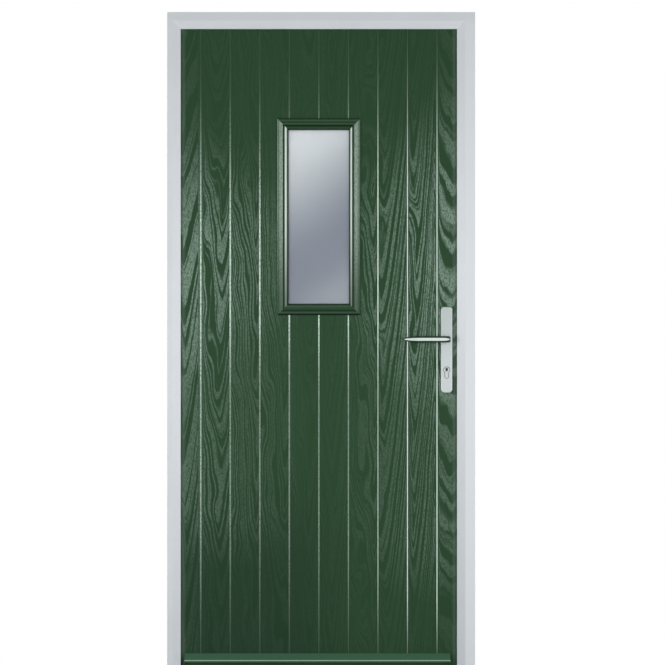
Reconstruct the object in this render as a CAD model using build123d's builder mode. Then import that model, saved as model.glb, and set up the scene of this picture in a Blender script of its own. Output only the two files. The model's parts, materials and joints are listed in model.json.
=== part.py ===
from build123d import *

import os
from math import sqrt

# A composite front door: a boarded, glazed leaf hung in a mitred frame.
# Millimetres, Z up, X across the door, and Y from the outside to the room.
# The origin is on the floor, midway across the frame and through the leaf.

os.makedirs("parts", exist_ok=True)

# Frame
frame_width = 924.0
frame_height = 2000.0
frame_depth = 70.0
hinge_face = 40.0
lock_face = 54.0
head_face = 50.0
bevel_width = 24.0
bevel_depth = 9.0
frame_wall = 3.0
fixing_radius = 5.0
fixing_end_distance = 150.0
fixing_inner_spacing = 600.0

# Leaf in its rebate
leaf_thickness = 44.0
leaf_overlap = 14.0
leaf_gap = 4.0
seal_gap = 4.0
skin_thickness = 3.0
hinge_stile_width = 60.0
lock_stile_width = 90.0
top_rail_height = 60.0
bottom_rail_height = 90.0
groove_pitch = 88.8
groove_count = 9
groove_width = 6.6
groove_floor = 1.4
groove_depth = 1.6

# Threshold and seals
threshold_base = 12.0
threshold_wall = 2.0
threshold_chambers = 3
stop_height = 18.0
stop_top_width = 12.0
stop_set_back = 2.0
leaf_floor_gap = 8.0
seal_width = 8.0
seal_inset = 3.0
seal_chamfer = 1.5
threshold_seal_height = 7.0
threshold_seal_drop = 1.0
bottom_seal_width = 8.0
bottom_seal_slit = 3.0
bottom_seal_root = 2.5
bottom_seal_inset = 3.0

# Glazed light
sight_width = 181.0
sight_height = 521.0
light_drop = 578.0
cassette_face = 35.0
cassette_edge = 4.0
cassette_rise = 12.0
cassette_band = 17.5
quirk_width = 5.5
quirk_rise = 8.5
bead_width = 7.2
bead_rise = 12.6
lip_rise = 3.0
lip_cover = 11.0
shell_recess = 2.0
unit_cover = 12.0
aperture_cover = 23.0
unit_thickness = 28.0
pane_thickness = 4.0
spacer_width = 10.0
spacer_inset = 2.0
glazing_seal_width = 8.0
glazing_seal_inset = 1.0
glazing_seal_thickness = 2.0
boss_radius = 4.0
boss_cover = 17.5
side_boss_pitch = 190.0
side_boss_count = 3
block_length = 40.0
block_spacing = 120.0
block_depth = 26.0

# Weather bar
bar_hinge_gap = 12.0
bar_lock_gap = 20.0
bar_foot_height = 34.0
bar_height = 40.0
bar_reach = 30.0
bar_nose_drop = 16.0
bar_nose_height = 9.0
bar_wall = 3.0
bar_lip = 3.0
bar_cap_thickness = 2.0

# Handles
backset = 45.0
spindle_height = 1018.0
cylinder_drop = 92.0
plate_width = 36.0
plate_height = 259.0
plate_thickness = 9.0
plate_above_spindle = 98.0
plate_top_corner = 9.0
plate_foot_corner = 12.0
plate_edge = 3.0
handle_bolt_spacing = 215.0
lug_radius = 4.5
lug_length = 20.0
lever_reach = 131.0
lever_heel = 10.0
lever_height = 19.0
lever_thickness = 15.0
lever_nose = 50.0
lever_flat_lead = 4.0
lever_heel_round = 5.0
lever_stand_off = 41.5
spigot_radius = 9.0
spigot_length = 7.0
collar_radius = 12.5
collar_length = 4.0
neck_radius = 7.5
spindle_side = 8.0
spindle_length = 120.0
spindle_bore = 13.0

# Lock
faceplate_width = 20.0
faceplate_thickness = 3.0
faceplate_end = 106.0
faceplate_corner = 4.0
case_depth = 70.0
case_thickness = 16.0
case_wall = 1.5
case_above_spindle = 48.0
case_below_cylinder = 33.0
follower_radius = 10.0
follower_length = 17.0
follower_arm = 15.0
follower_arm_side = 7.0
latch_rise = 30.0
latch_height = 26.0
latch_thickness = 12.0
latch_length = 40.0
latch_bevel = 10.0
latch_tip = 2.0
deadbolt_drop = 48.0
deadbolt_height = 30.0
deadbolt_thickness = 12.0
deadbolt_length = 50.0
deadbolt_chamfer = 1.5
hook_top_distance = 346.0
hook_foot_distance = 398.0
hook_pivot_depth = 18.0
hook_arm = 34.0
hook_arm_width = 12.0
hook_beak = 9.0
hook_beak_width = 7.0
hook_round = 3.0
hook_boss_radius = 8.0
hook_pin_radius = 4.0
hook_thickness = 7.0
hook_case_wall = 1.5
hook_case_margin = 2.0
rod_thickness = 2.5
rod_width = 14.0
rod_end_gap = 2.0
rod_travel = 18.0
keep_thickness = 2.0
keep_width = 30.0
keep_corner = 4.5
keep_margin = 24.0
keep_slot_margin = 2.0

# Key cylinder
cylinder_radius = 8.5
cylinder_leg_width = 10.0
cylinder_total_height = 33.0
cylinder_length = 66.0
plug_radius = 6.5
cam_width = 9.0
cam_slot = 10.0
cam_reach = 15.0
cam_tooth_width = 7.0
cam_hub_radius = 8.0
cylinder_bridge = 8.0
keyway_width = 2.0
keyway_height = 8.0
keyway_depth = 22.0
turn_width = 9.0
turn_height = 26.0
turn_length = 18.0
turn_neck = 5.0
turn_edge = 2.0

# Hinges
hinge_height = 90.0
hinge_foot_distance = 180.0
hinge_top_distance = 164.0
hinge_count = 3
hinge_plate = 4.0
knuckle_radius = 8.0
knuckle_bore = 5.0
knuckle_share = 1 / 3
pivot_stand_off = 9.0
frame_flag_width = 15.0
frame_flag_margin = 1.0
leaf_flag_width = 55.0
leaf_flag_clear = 6.0
flag_corner = 5.0
pin_head = 3.0
flag_screw_spacing = 60.0
frame_screw_spacing = 32.0
leaf_screw_spacing = 24.0

# Screws
screw_radius = 2.0
screw_head_radius = 4.0
keep_screw_length = 18.0
hinge_screw_length = 26.0
cassette_screw_length = 34.0
faceplate_screw_length = 22.0
bolt_radius = 2.5
bolt_head_radius = 4.5
bolt_grip = 47.0

# Clearances
fit = 0.05
running_gap = 0.3
mortise_gap = 0.25
cut_over = 5.0

# Places across the door, from front to back and up
leaf_front = -leaf_thickness / 2
leaf_back = leaf_thickness / 2
rebate_face = leaf_front - seal_gap
frame_back = leaf_back
frame_front = frame_back - frame_depth
left_edge = -frame_width / 2
right_edge = frame_width / 2
wall_set_back = leaf_overlap + leaf_gap
hinge_sight = left_edge + hinge_face
lock_sight = right_edge - lock_face
head_sight = frame_height - head_face
hinge_wall = hinge_sight - wall_set_back
lock_wall = lock_sight + wall_set_back
leaf_left = hinge_sight - leaf_overlap
leaf_right = lock_sight + leaf_overlap
leaf_top = head_sight + leaf_overlap
leaf_bottom = threshold_base + leaf_floor_gap
leaf_height = leaf_top - leaf_bottom
light_x = (hinge_sight + lock_sight) / 2
light_centre_height = leaf_top - light_drop
core_front = leaf_front + skin_thickness
core_back = leaf_back - skin_thickness
core_left = leaf_left + hinge_stile_width
core_right = leaf_right - lock_stile_width
spindle_x = leaf_right - backset
cylinder_height = spindle_height - cylinder_drop
plate_height_centre = spindle_height + plate_above_spindle - plate_height / 2
plate_face = leaf_back + plate_thickness
faceplate_back = leaf_right - faceplate_thickness
rod_front = faceplate_back - running_gap
case_front = rod_front - rod_thickness - running_gap
hook_pivot_x = leaf_right - hook_pivot_depth
hook_heights = [leaf_top - hook_top_distance, leaf_bottom + hook_foot_distance]
hinge_low = leaf_bottom + hinge_foot_distance
hinge_high = leaf_top - hinge_top_distance
hinge_pitch = (hinge_high - hinge_low) / (hinge_count - 1)
hinge_heights = [hinge_low + hinge_pitch * i for i in range(hinge_count)]
pivot_x = (hinge_wall + leaf_left) / 2
pivot_y = leaf_back + pivot_stand_off


def save(builder, name):
    """Label a finished piece and write it under its own name."""
    builder.part.label = name
    export_step(builder.part, f"parts/{name}.step")


def across(y):
    """Plane facing the outside at depth y, with X to the right and Z up."""
    return Plane.XZ.offset(-y)


def screw_blank(shank, head, length):
    """Countersunk screw along Z, with its head flush with the origin."""
    with BuildPart() as screw:
        Cylinder(shank, length, align=(Align.CENTER, Align.CENTER, Align.MAX))
        Cone(shank, head, head - shank, align=(Align.CENTER, Align.CENTER, Align.MAX))
    return screw.part


def screw_places(points, turn):
    """Places for screws whose heads sit at the points and face one way."""
    return [Location(point, turn) for point in points]


def sink(shank, head):
    """Countersunk clearance hole for a screw, at the places in use."""
    CounterSinkHole(
        radius=shank + fit, counter_sink_radius=head + fit, counter_sink_angle=90
    )


def shank_hole(shank, length):
    """Round hole that takes a screw's whole length, at the places in use."""
    Cylinder(
        shank + fit,
        length + fit,
        align=(Align.CENTER, Align.CENTER, Align.MAX),
        mode=Mode.SUBTRACT,
    )


faces_room = (-90, 0, 0)
faces_hinge = (0, -90, 0)
faces_lock = (0, 90, 0)

# Frame members: one moulded section, hollow behind its walls


def member_outline(face):
    """Section of a member from its outer edge, at zero, to its sight line."""
    return [
        (0, frame_front),
        (face - bevel_width, frame_front),
        (face, frame_front + bevel_depth),
        (face, rebate_face),
        (face - wall_set_back, rebate_face),
        (face - wall_set_back, frame_back),
        (0, frame_back),
    ]


def front_chamber(face):
    """Chamber behind the visible face and its bevel."""
    return [
        (frame_wall, frame_front + frame_wall),
        (face - bevel_width, frame_front + frame_wall),
        (face - frame_wall, frame_front + bevel_depth + frame_wall),
        (face - frame_wall, rebate_face - frame_wall),
        (frame_wall, rebate_face - frame_wall),
    ]


def rear_chamber(face):
    """Chamber behind the rebate wall."""
    return [
        (frame_wall, rebate_face),
        (face - wall_set_back - frame_wall, rebate_face),
        (face - wall_set_back - frame_wall, frame_back - frame_wall),
        (frame_wall, frame_back - frame_wall),
    ]


def member_section(plane, face, place):
    """Hollow section of a member, with each point moved to its place."""
    with BuildSketch(plane) as section:
        with BuildLine():
            Polyline(*[place(u, y) for u, y in member_outline(face)], close=True)
        make_face()
        for chamber in (front_chamber(face), rear_chamber(face)):
            with BuildLine():
                Polyline(*[place(u, y) for u, y in chamber], close=True)
            make_face(mode=Mode.SUBTRACT)
    return section.sketch


def corner_cut(edge, side, face, keep_head):
    """Prism beyond the joint line of a top corner, on the side to be cut away.

    The joint runs at 45 degrees through the moulding and then to the outer corner.
    """
    flat = face - bevel_width
    head_flat = head_face - bevel_width
    reach = bevel_width + cut_over
    outer = (edge, frame_height)
    kink = (edge + side * flat, frame_height - head_flat)
    inner = (kink[0] + side * reach, kink[1] - reach)
    if keep_head:
        rest = [(edge - side * cut_over, inner[1]), (edge - side * cut_over, frame_height)]
    else:
        above = frame_height + cut_over
        rest = [(inner[0], above), (edge, above)]
    with BuildSketch(Plane.XZ) as cut:
        with BuildLine():
            Polyline(outer, kink, inner, *rest, close=True)
        make_face()
    return cut.sketch


hinge_section = member_section(
    Plane.XY.offset(threshold_base), hinge_face, lambda u, y: (left_edge + u, y)
)
lock_section = member_section(
    Plane.XY.offset(threshold_base), lock_face, lambda u, y: (right_edge - u, y)
)
head_section = member_section(
    Plane.YZ.offset(left_edge), head_face, lambda u, y: (y, frame_height - u)
)
hinge_jamb_cut = corner_cut(left_edge, 1, hinge_face, False)
lock_jamb_cut = corner_cut(right_edge, -1, lock_face, False)
hinge_head_cut = corner_cut(left_edge, 1, hinge_face, True)
lock_head_cut = corner_cut(right_edge, -1, lock_face, True)

fixing_heights = [
    fixing_end_distance,
    frame_height / 2 - fixing_inner_spacing / 2,
    frame_height / 2 + fixing_inner_spacing / 2,
    frame_height - fixing_end_distance,
]
with BuildSketch(Plane.YZ) as fixing_holes:
    with Locations(*[(0, z) for z in fixing_heights]):
        Circle(fixing_radius)

# Screw places shared by the hinges and what they are fixed to
frame_screw_x = left_edge + frame_flag_margin + frame_flag_width / 2
frame_hinge_points = [
    (frame_screw_x, leaf_back + hinge_plate, z + offset)
    for z in hinge_heights
    for offset in (-frame_screw_spacing, 0, frame_screw_spacing)
]
leaf_flag_left = leaf_left + leaf_flag_clear
leaf_flag_right = leaf_flag_left + leaf_flag_width
leaf_screw_x = (leaf_flag_left + leaf_flag_right) / 2
leaf_hinge_points = [
    (leaf_screw_x + across_flag, leaf_back + hinge_plate, z + up_flag)
    for z in hinge_heights
    for across_flag in (-leaf_screw_spacing / 2, leaf_screw_spacing / 2)
    for up_flag in (-flag_screw_spacing / 2, flag_screw_spacing / 2)
]
frame_hinge_places = screw_places(frame_hinge_points, faces_room)
leaf_hinge_places = screw_places(leaf_hinge_points, faces_room)

# Lock layout: what shoots out of the leaf's edge and what receives it
latch_height_centre = spindle_height + latch_rise
deadbolt_height_centre = spindle_height - deadbolt_drop
hook_sweep = sqrt(hook_arm**2 + (hook_arm_width / 2 + hook_beak) ** 2)
hook_low = hook_arm_width / 2 + keep_slot_margin


def hook_high(x):
    """Highest point above the pivot that the swinging hook reaches at x."""
    return sqrt(hook_sweep**2 - (x - hook_pivot_x) ** 2) + keep_slot_margin


keep_face = lock_wall - keep_thickness
keep_hook_high = hook_high(keep_face)
plate_hook_high = hook_high(faceplate_back)
latch_slot = latch_height + 2 * keep_slot_margin
deadbolt_slot = deadbolt_height + 2 * keep_slot_margin
bolt_slot_width = latch_thickness + 2 * keep_slot_margin
hook_slot_width = hook_thickness + 2 * keep_slot_margin
centre_keep_low = deadbolt_height_centre - deadbolt_slot / 2 - keep_margin
centre_keep_high = latch_height_centre + latch_slot / 2 + keep_margin
hook_keep_spans = [
    (z - hook_low - keep_margin, z + keep_hook_high + keep_margin) for z in hook_heights
]
keep_spans = [(centre_keep_low, centre_keep_high), *hook_keep_spans]
keep_screw_points = [
    (keep_face, 0, z)
    for low, high in keep_spans
    for z in (low + keep_margin / 2, high - keep_margin / 2)
]
keep_places = screw_places(keep_screw_points, faces_hinge)

with BuildSketch(Plane.YZ) as keep_slots:
    with Locations((0, latch_height_centre)):
        Rectangle(bolt_slot_width, latch_slot)
    with Locations((0, deadbolt_height_centre)):
        Rectangle(bolt_slot_width, deadbolt_slot)
    for z in hook_heights:
        with Locations((0, z + (keep_hook_high - hook_low) / 2)):
            Rectangle(hook_slot_width, keep_hook_high + hook_low)

jamb_height = frame_height - threshold_base
with BuildPart() as hinge_jamb:
    extrude(hinge_section, amount=jamb_height)
    extrude(hinge_jamb_cut, amount=frame_depth, both=True, mode=Mode.SUBTRACT)
    extrude(fixing_holes.sketch, amount=-frame_width, mode=Mode.SUBTRACT)
    with Locations(*frame_hinge_places):
        shank_hole(screw_radius, hinge_screw_length)
save(hinge_jamb, "hinge_jamb")

with BuildPart() as lock_jamb:
    extrude(lock_section, amount=jamb_height)
    extrude(lock_jamb_cut, amount=frame_depth, both=True, mode=Mode.SUBTRACT)
    extrude(fixing_holes.sketch, amount=frame_width, mode=Mode.SUBTRACT)
    extrude(keep_slots.sketch, amount=lock_wall + frame_wall, mode=Mode.SUBTRACT)
    with Locations(*keep_places):
        shank_hole(screw_radius, keep_screw_length)
save(lock_jamb, "lock_jamb")

with BuildPart() as frame_head:
    extrude(head_section, amount=frame_width)
    extrude(hinge_head_cut, amount=frame_depth, both=True, mode=Mode.SUBTRACT)
    extrude(lock_head_cut, amount=frame_depth, both=True, mode=Mode.SUBTRACT)
save(frame_head, "frame_head")

# Threshold: a hollow base under both jambs, with a hollow stop between their lips
stop_top = threshold_base + stop_height
chamber_walls = (threshold_chambers + 1) * threshold_wall
chamber_width = (frame_depth - chamber_walls) / threshold_chambers
with BuildPart() as threshold:
    with BuildSketch(Plane.YZ.offset(left_edge)):
        with Locations(((frame_front + frame_back) / 2, threshold_base / 2)):
            Rectangle(frame_depth, threshold_base)
            with GridLocations(chamber_width + threshold_wall, 0, threshold_chambers, 1):
                Rectangle(
                    chamber_width, threshold_base - 2 * threshold_wall, mode=Mode.SUBTRACT
                )
    extrude(amount=frame_width)
    with BuildSketch(Plane.YZ.offset(hinge_sight)):
        with BuildLine():
            Polyline(
                (frame_front + stop_set_back, threshold_base),
                (rebate_face - stop_top_width, stop_top),
                (rebate_face, stop_top),
                (rebate_face, threshold_base),
                close=True,
            )
        make_face()
        offset(amount=-threshold_wall, kind=Kind.INTERSECTION, mode=Mode.SUBTRACT)
    extrude(amount=lock_sight - hinge_sight)
save(threshold, "threshold")

# Seals that the closed leaf lies against
seal_face = leaf_front - running_gap
seal_outer = seal_inset + seal_width


def seal_arch(grow):
    """Arch of the rebate, grown outwards from the sight lines."""
    with BuildSketch(across(rebate_face)) as arch:
        with BuildLine():
            Polyline(
                (hinge_sight - grow, threshold_base),
                (hinge_sight - grow, head_sight + grow),
                (lock_sight + grow, head_sight + grow),
                (lock_sight + grow, threshold_base),
                close=True,
            )
        make_face()
    return arch.sketch


outer_arch = seal_arch(seal_outer)
inner_arch = seal_arch(seal_inset)
with BuildPart() as weather_seal:
    extrude(outer_arch, amount=rebate_face - seal_face)
    extrude(inner_arch, amount=rebate_face - seal_face, mode=Mode.SUBTRACT)
    chamfer(
        weather_seal.faces().sort_by(Axis.Y)[-1].edges().filter_by(Axis.Z), seal_chamfer
    )
save(weather_seal, "weather_seal")

with BuildPart() as threshold_seal:
    with BuildSketch(Plane.YZ.offset(hinge_sight)):
        with BuildLine():
            seal_top = stop_top - threshold_seal_drop
            seal_low = seal_top - threshold_seal_height
            Line((rebate_face, seal_low), (rebate_face, seal_top))
            ThreePointArc(
                (rebate_face, seal_top),
                (seal_face, (seal_top + seal_low) / 2),
                (rebate_face, seal_low),
            )
        make_face()
    extrude(amount=lock_sight - hinge_sight)
save(threshold_seal, "threshold_seal")

# Leaf: two boarded skins over a timber frame and a foam core
with BuildSketch(Plane.XZ) as light_aperture:
    with Locations((light_x, light_centre_height)):
        Rectangle(sight_width + 2 * aperture_cover, sight_height + 2 * aperture_cover)

leg_drop = cylinder_total_height - cylinder_radius - cylinder_leg_width / 2


def cylinder_outline(clearance):
    """Pear-shaped outline of the key cylinder, with a clearance all round."""
    with BuildSketch(Plane.XZ) as outline:
        with Locations((spindle_x, cylinder_height)):
            Circle(cylinder_radius + clearance)
        with Locations((spindle_x, cylinder_height - leg_drop / 2)):
            SlotCenterToCenter(leg_drop, cylinder_leg_width + 2 * clearance, rotation=90)
    return outline.sketch


cylinder_hole = cylinder_outline(running_gap)
bolt_heights = [
    plate_height_centre - handle_bolt_spacing / 2,
    plate_height_centre + handle_bolt_spacing / 2,
]
with BuildSketch(Plane.XZ) as handle_bores:
    with Locations((spindle_x, spindle_height)):
        Circle(spindle_bore)
    with Locations(*[(spindle_x, z) for z in bolt_heights]):
        Circle(lug_radius + running_gap)

leaf_centre_x = (leaf_left + leaf_right) / 2
leaf_centre_z = (leaf_bottom + leaf_top) / 2
with BuildPart() as outer_skin:
    with BuildSketch(across(leaf_front)):
        with Locations((leaf_centre_x, leaf_centre_z)):
            Rectangle(leaf_right - leaf_left, leaf_height)
    extrude(amount=-skin_thickness)
    extrude(light_aperture.sketch, amount=leaf_thickness, both=True, mode=Mode.SUBTRACT)
    extrude(handle_bores.sketch, amount=leaf_thickness, both=True, mode=Mode.SUBTRACT)
    extrude(cylinder_hole, amount=leaf_thickness, both=True, mode=Mode.SUBTRACT)
    with BuildSketch(Plane.XY.offset(leaf_bottom)):
        with Locations((light_x, leaf_front)):
            with GridLocations(groove_pitch, groove_pitch, groove_count, 1):
                Polygon(
                    (-groove_width / 2, 0),
                    (groove_width / 2, 0),
                    (groove_floor / 2, groove_depth),
                    (-groove_floor / 2, groove_depth),
                    align=None,
                )
    extrude(amount=leaf_height, mode=Mode.SUBTRACT)
save(outer_skin, "outer_skin")

with BuildPart() as inner_skin:
    mirror(outer_skin.part, about=Plane.XZ)
    with Locations(*leaf_hinge_places):
        shank_hole(screw_radius, hinge_screw_length)
save(inner_skin, "inner_skin")

core_depth = core_back - core_front
with BuildPart() as hinge_stile:
    with BuildSketch(across(core_front)):
        with Locations((leaf_left + hinge_stile_width / 2, leaf_centre_z)):
            Rectangle(hinge_stile_width, leaf_height)
    extrude(amount=-core_depth)
    with Locations(*leaf_hinge_places):
        shank_hole(screw_radius, hinge_screw_length)
save(hinge_stile, "hinge_stile")

core_width = core_right - core_left
core_x = (core_left + core_right) / 2
with BuildPart() as top_rail:
    with BuildSketch(across(core_front)):
        with Locations((core_x, leaf_top - top_rail_height / 2)):
            Rectangle(core_width, top_rail_height)
    extrude(amount=-core_depth)
save(top_rail, "top_rail")

with BuildPart() as bottom_rail:
    with BuildSketch(across(core_front)):
        with Locations((core_x, leaf_bottom + bottom_rail_height / 2)):
            Rectangle(core_width, bottom_rail_height)
    extrude(amount=-core_depth)
save(bottom_rail, "bottom_rail")

foam_low = leaf_bottom + bottom_rail_height
foam_high = leaf_top - top_rail_height
with BuildPart() as foam_core:
    with BuildSketch(across(core_front)):
        with Locations((core_x, (foam_low + foam_high) / 2)):
            Rectangle(core_width, foam_high - foam_low)
    extrude(amount=-core_depth)
    extrude(light_aperture.sketch, amount=leaf_thickness, both=True, mode=Mode.SUBTRACT)
save(foam_core, "foam_core")

# Lock stile: a timber stile with the mortises of a lock that runs up its edge
case_low = cylinder_height - case_below_cylinder
case_high = spindle_height + case_above_spindle
case_back = case_front - case_depth
hook_case_half = hook_thickness / 2 + fit + hook_case_wall
hook_case_back = hook_pivot_x - hook_arm_width / 2 - hook_beak - hook_case_margin - hook_case_wall
hook_case_low = hook_boss_radius + hook_case_margin + hook_case_wall
hook_case_high = hook_sweep + hook_case_margin + hook_case_wall
faceplate_low = hook_heights[1] - faceplate_end
faceplate_high = hook_heights[0] + faceplate_end
faceplate_length = faceplate_high - faceplate_low
faceplate_middle = (faceplate_low + faceplate_high) / 2
upper_rod_low = case_high + rod_end_gap
upper_rod_high = hook_heights[0] - hook_case_low - rod_end_gap - rod_travel
lower_rod_low = hook_heights[1] + hook_case_high + rod_end_gap
lower_rod_high = case_low - rod_end_gap - rod_travel
faceplate_screw_points = [
    (leaf_right, 0, faceplate_low + keep_margin / 2),
    (leaf_right, 0, hook_heights[1] - hook_case_low - keep_margin),
    (leaf_right, 0, hook_heights[0] + hook_case_high + keep_margin),
    (leaf_right, 0, faceplate_high - keep_margin / 2),
]
faceplate_places = screw_places(faceplate_screw_points, faces_lock)
lock_case_spans = [
    (case_back, case_thickness / 2, case_low, case_high),
    *[
        (hook_case_back, hook_case_half, z - hook_case_low, z + hook_case_high)
        for z in hook_heights
    ],
]

with BuildPart() as lock_stile:
    with BuildSketch(across(core_front)):
        with Locations((leaf_right - lock_stile_width / 2, leaf_centre_z)):
            Rectangle(lock_stile_width, leaf_height)
    extrude(amount=-core_depth)
    extrude(handle_bores.sketch, amount=leaf_thickness, both=True, mode=Mode.SUBTRACT)
    extrude(cylinder_hole, amount=leaf_thickness, both=True, mode=Mode.SUBTRACT)
    with BuildSketch(Plane.YZ.offset(faceplate_back)):
        with Locations((0, faceplate_middle)):
            Rectangle(faceplate_width, faceplate_length)
    extrude(amount=faceplate_thickness, mode=Mode.SUBTRACT)
    with BuildSketch(Plane.YZ.offset(case_front)):
        for low, high in (
            (upper_rod_low - rod_end_gap, hook_heights[0]),
            (hook_heights[1], lower_rod_high + rod_travel + rod_end_gap),
        ):
            with Locations((0, (low + high) / 2)):
                Rectangle(rod_width + 2 * running_gap, high - low)
    extrude(amount=faceplate_back - case_front, mode=Mode.SUBTRACT)
    for back, half, low, high in lock_case_spans:
        with BuildSketch(Plane.YZ.offset(back - mortise_gap)):
            with Locations((0, (low + high) / 2)):
                Rectangle(2 * (half + mortise_gap), high - low + 2 * mortise_gap)
        extrude(amount=faceplate_back - back + mortise_gap, mode=Mode.SUBTRACT)
    with Locations(*faceplate_places):
        shank_hole(screw_radius, faceplate_screw_length)
save(lock_stile, "lock_stile")

# Glazed light: a sealed unit clamped between two moulded cassettes
half_sight_width = sight_width / 2
half_sight_height = sight_height / 2
left_light = light_x - half_sight_width
right_light = light_x + half_sight_width
low_light = light_centre_height - half_sight_height
high_light = light_centre_height + half_sight_height
pane_front = -unit_thickness / 2
lip_back = pane_front - glazing_seal_thickness
lip_depth = leaf_front - lip_back
band_inner = cassette_face - cassette_band
bead_outer = band_inner - quirk_width
bead_inner = bead_outer - bead_width
band_middle_share = 0.62
boss_places = [
    (light_x + side * (half_sight_width + boss_cover), light_centre_height + row * side_boss_pitch)
    for side in (-1, 1)
    for row in range(-(side_boss_count // 2), side_boss_count // 2 + 1)
] + [
    (light_x, light_centre_height + side * (half_sight_height + boss_cover)) for side in (-1, 1)
]
screw_head_y = leaf_back + quirk_rise
cassette_places = screw_places([(x, screw_head_y, z) for x, z in boss_places], faces_room)

with BuildPart() as outer_cassette:
    with BuildLine() as sight_line:
        Polyline(
            (light_x, leaf_front, low_light),
            (right_light, leaf_front, low_light),
            (right_light, leaf_front, high_light),
            (left_light, leaf_front, high_light),
            (left_light, leaf_front, low_light),
            close=True,
        )
    with BuildSketch(
        Plane(origin=(light_x, leaf_front, low_light), x_dir=(0, 0, -1), z_dir=(1, 0, 0))
    ):
        with BuildLine():
            Polyline(
                (band_inner, -cassette_rise),
                (band_inner, -quirk_rise),
                (bead_outer, -quirk_rise),
            )
            ThreePointArc(
                (bead_outer, -quirk_rise),
                ((bead_outer + bead_inner) / 2, -bead_rise),
                (bead_inner, -quirk_rise),
            )
            Polyline(
                (bead_inner, -quirk_rise),
                (0, -lip_rise),
                (0, lip_depth),
                (lip_cover, lip_depth),
                (lip_cover, -shell_recess),
                (aperture_cover, -shell_recess),
                (aperture_cover, 0),
                (cassette_face, 0),
                (cassette_face, -cassette_edge),
            )
            ThreePointArc(
                (cassette_face, -cassette_edge),
                (
                    band_inner + cassette_band * band_middle_share,
                    -cassette_edge - (cassette_rise - cassette_edge) * band_middle_share,
                ),
                (band_inner, -cassette_rise),
            )
        make_face()
    sweep(path=sight_line.wires()[0], transition=Transition.RIGHT)
    with BuildSketch(across(0)):
        with Locations(*boss_places):
            Circle(boss_radius)
    extrude(amount=-leaf_front + shell_recess)
    with Locations(*cassette_places):
        shank_hole(screw_radius, cassette_screw_length)
save(outer_cassette, "outer_cassette")

with BuildPart() as inner_cassette:
    mirror(outer_cassette.part, about=Plane.XZ)
    with Locations(*cassette_places):
        sink(screw_radius, screw_head_radius)
    with BuildSketch(across(screw_head_y)):
        with Locations(*boss_places):
            Circle(screw_head_radius + fit)
    extrude(amount=-bead_rise, mode=Mode.SUBTRACT)
save(inner_cassette, "inner_cassette")

with BuildPart() as cassette_screws:
    with Locations(*cassette_places):
        add(screw_blank(screw_radius, screw_head_radius, cassette_screw_length))
save(cassette_screws, "cassette_screws")

unit_width = sight_width + 2 * unit_cover
unit_height = sight_height + 2 * unit_cover
with BuildPart() as outer_pane:
    with BuildSketch(across(pane_front)):
        with Locations((light_x, light_centre_height)):
            Rectangle(unit_width, unit_height)
    extrude(amount=-pane_thickness)
save(outer_pane, "outer_pane")

with BuildPart() as inner_pane:
    mirror(outer_pane.part, about=Plane.XZ)
save(inner_pane, "inner_pane")

spacer_depth = unit_thickness - 2 * pane_thickness
with BuildPart() as glazing_spacer:
    with BuildSketch(across(-spacer_depth / 2)):
        with Locations((light_x, light_centre_height)):
            Rectangle(unit_width - 2 * spacer_inset, unit_height - 2 * spacer_inset)
            hole_cover = 2 * (spacer_inset + spacer_width)
            Rectangle(unit_width - hole_cover, unit_height - hole_cover, mode=Mode.SUBTRACT)
    extrude(amount=-spacer_depth)
save(glazing_spacer, "glazing_spacer")

with BuildPart() as outer_glazing_seal:
    with BuildSketch(across(pane_front)):
        with Locations((light_x, light_centre_height)):
            seal_cover = 2 * (glazing_seal_inset + glazing_seal_width)
            Rectangle(sight_width + seal_cover, sight_height + seal_cover)
            Rectangle(
                sight_width + 2 * glazing_seal_inset,
                sight_height + 2 * glazing_seal_inset,
                mode=Mode.SUBTRACT,
            )
    extrude(amount=glazing_seal_thickness)
save(outer_glazing_seal, "outer_glazing_seal")

with BuildPart() as inner_glazing_seal:
    mirror(outer_glazing_seal.part, about=Plane.XZ)
save(inner_glazing_seal, "inner_glazing_seal")

block_height = aperture_cover - unit_cover
with BuildPart() as setting_blocks:
    with BuildSketch(across(-block_depth / 2)):
        with Locations((light_x, low_light - unit_cover - block_height / 2)):
            with GridLocations(block_spacing, block_spacing, 2, 1):
                Rectangle(block_length, block_height)
    extrude(amount=-block_depth)
save(setting_blocks, "setting_blocks")

# Weather bar across the foot of the leaf
bar_left = hinge_sight + bar_hinge_gap + bar_cap_thickness
bar_right = lock_sight - bar_lock_gap - bar_cap_thickness
bar_length = bar_right - bar_left
bar_top = bar_foot_height + bar_height
nose_top = bar_top - bar_nose_drop
nose_low = nose_top - bar_nose_height
bar_front = leaf_front - bar_reach
with BuildPart() as weather_bar:
    with BuildSketch(Plane.YZ.offset(bar_left)):
        with BuildLine():
            Polyline(
                (leaf_front, bar_foot_height),
                (leaf_front, bar_top),
                (leaf_front - bar_wall, bar_top),
                (bar_front + bar_lip, nose_top),
                (bar_front, nose_top - bar_lip),
                (bar_front, nose_low),
                (bar_front + bar_wall, nose_low),
                (bar_front + bar_wall, nose_top - bar_wall - bar_lip),
                (leaf_front - bar_wall, bar_top - bar_wall - bar_lip),
                (leaf_front - bar_wall, bar_foot_height),
                close=True,
            )
        make_face()
    extrude(amount=bar_length)
save(weather_bar, "weather_bar")

with BuildPart() as weather_bar_caps:
    for cap_x in (bar_left - bar_cap_thickness, bar_right):
        with BuildSketch(Plane.YZ.offset(cap_x)):
            with BuildLine():
                Polyline(
                    (leaf_front, bar_foot_height),
                    (leaf_front, bar_top),
                    (leaf_front - bar_wall, bar_top),
                    (bar_front + bar_lip, nose_top),
                    (bar_front, nose_top - bar_lip),
                    (bar_front, nose_low),
                    (leaf_front - bar_wall, bar_foot_height),
                    close=True,
                )
            make_face()
        extrude(amount=bar_cap_thickness)
save(weather_bar_caps, "weather_bar_caps")

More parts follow.
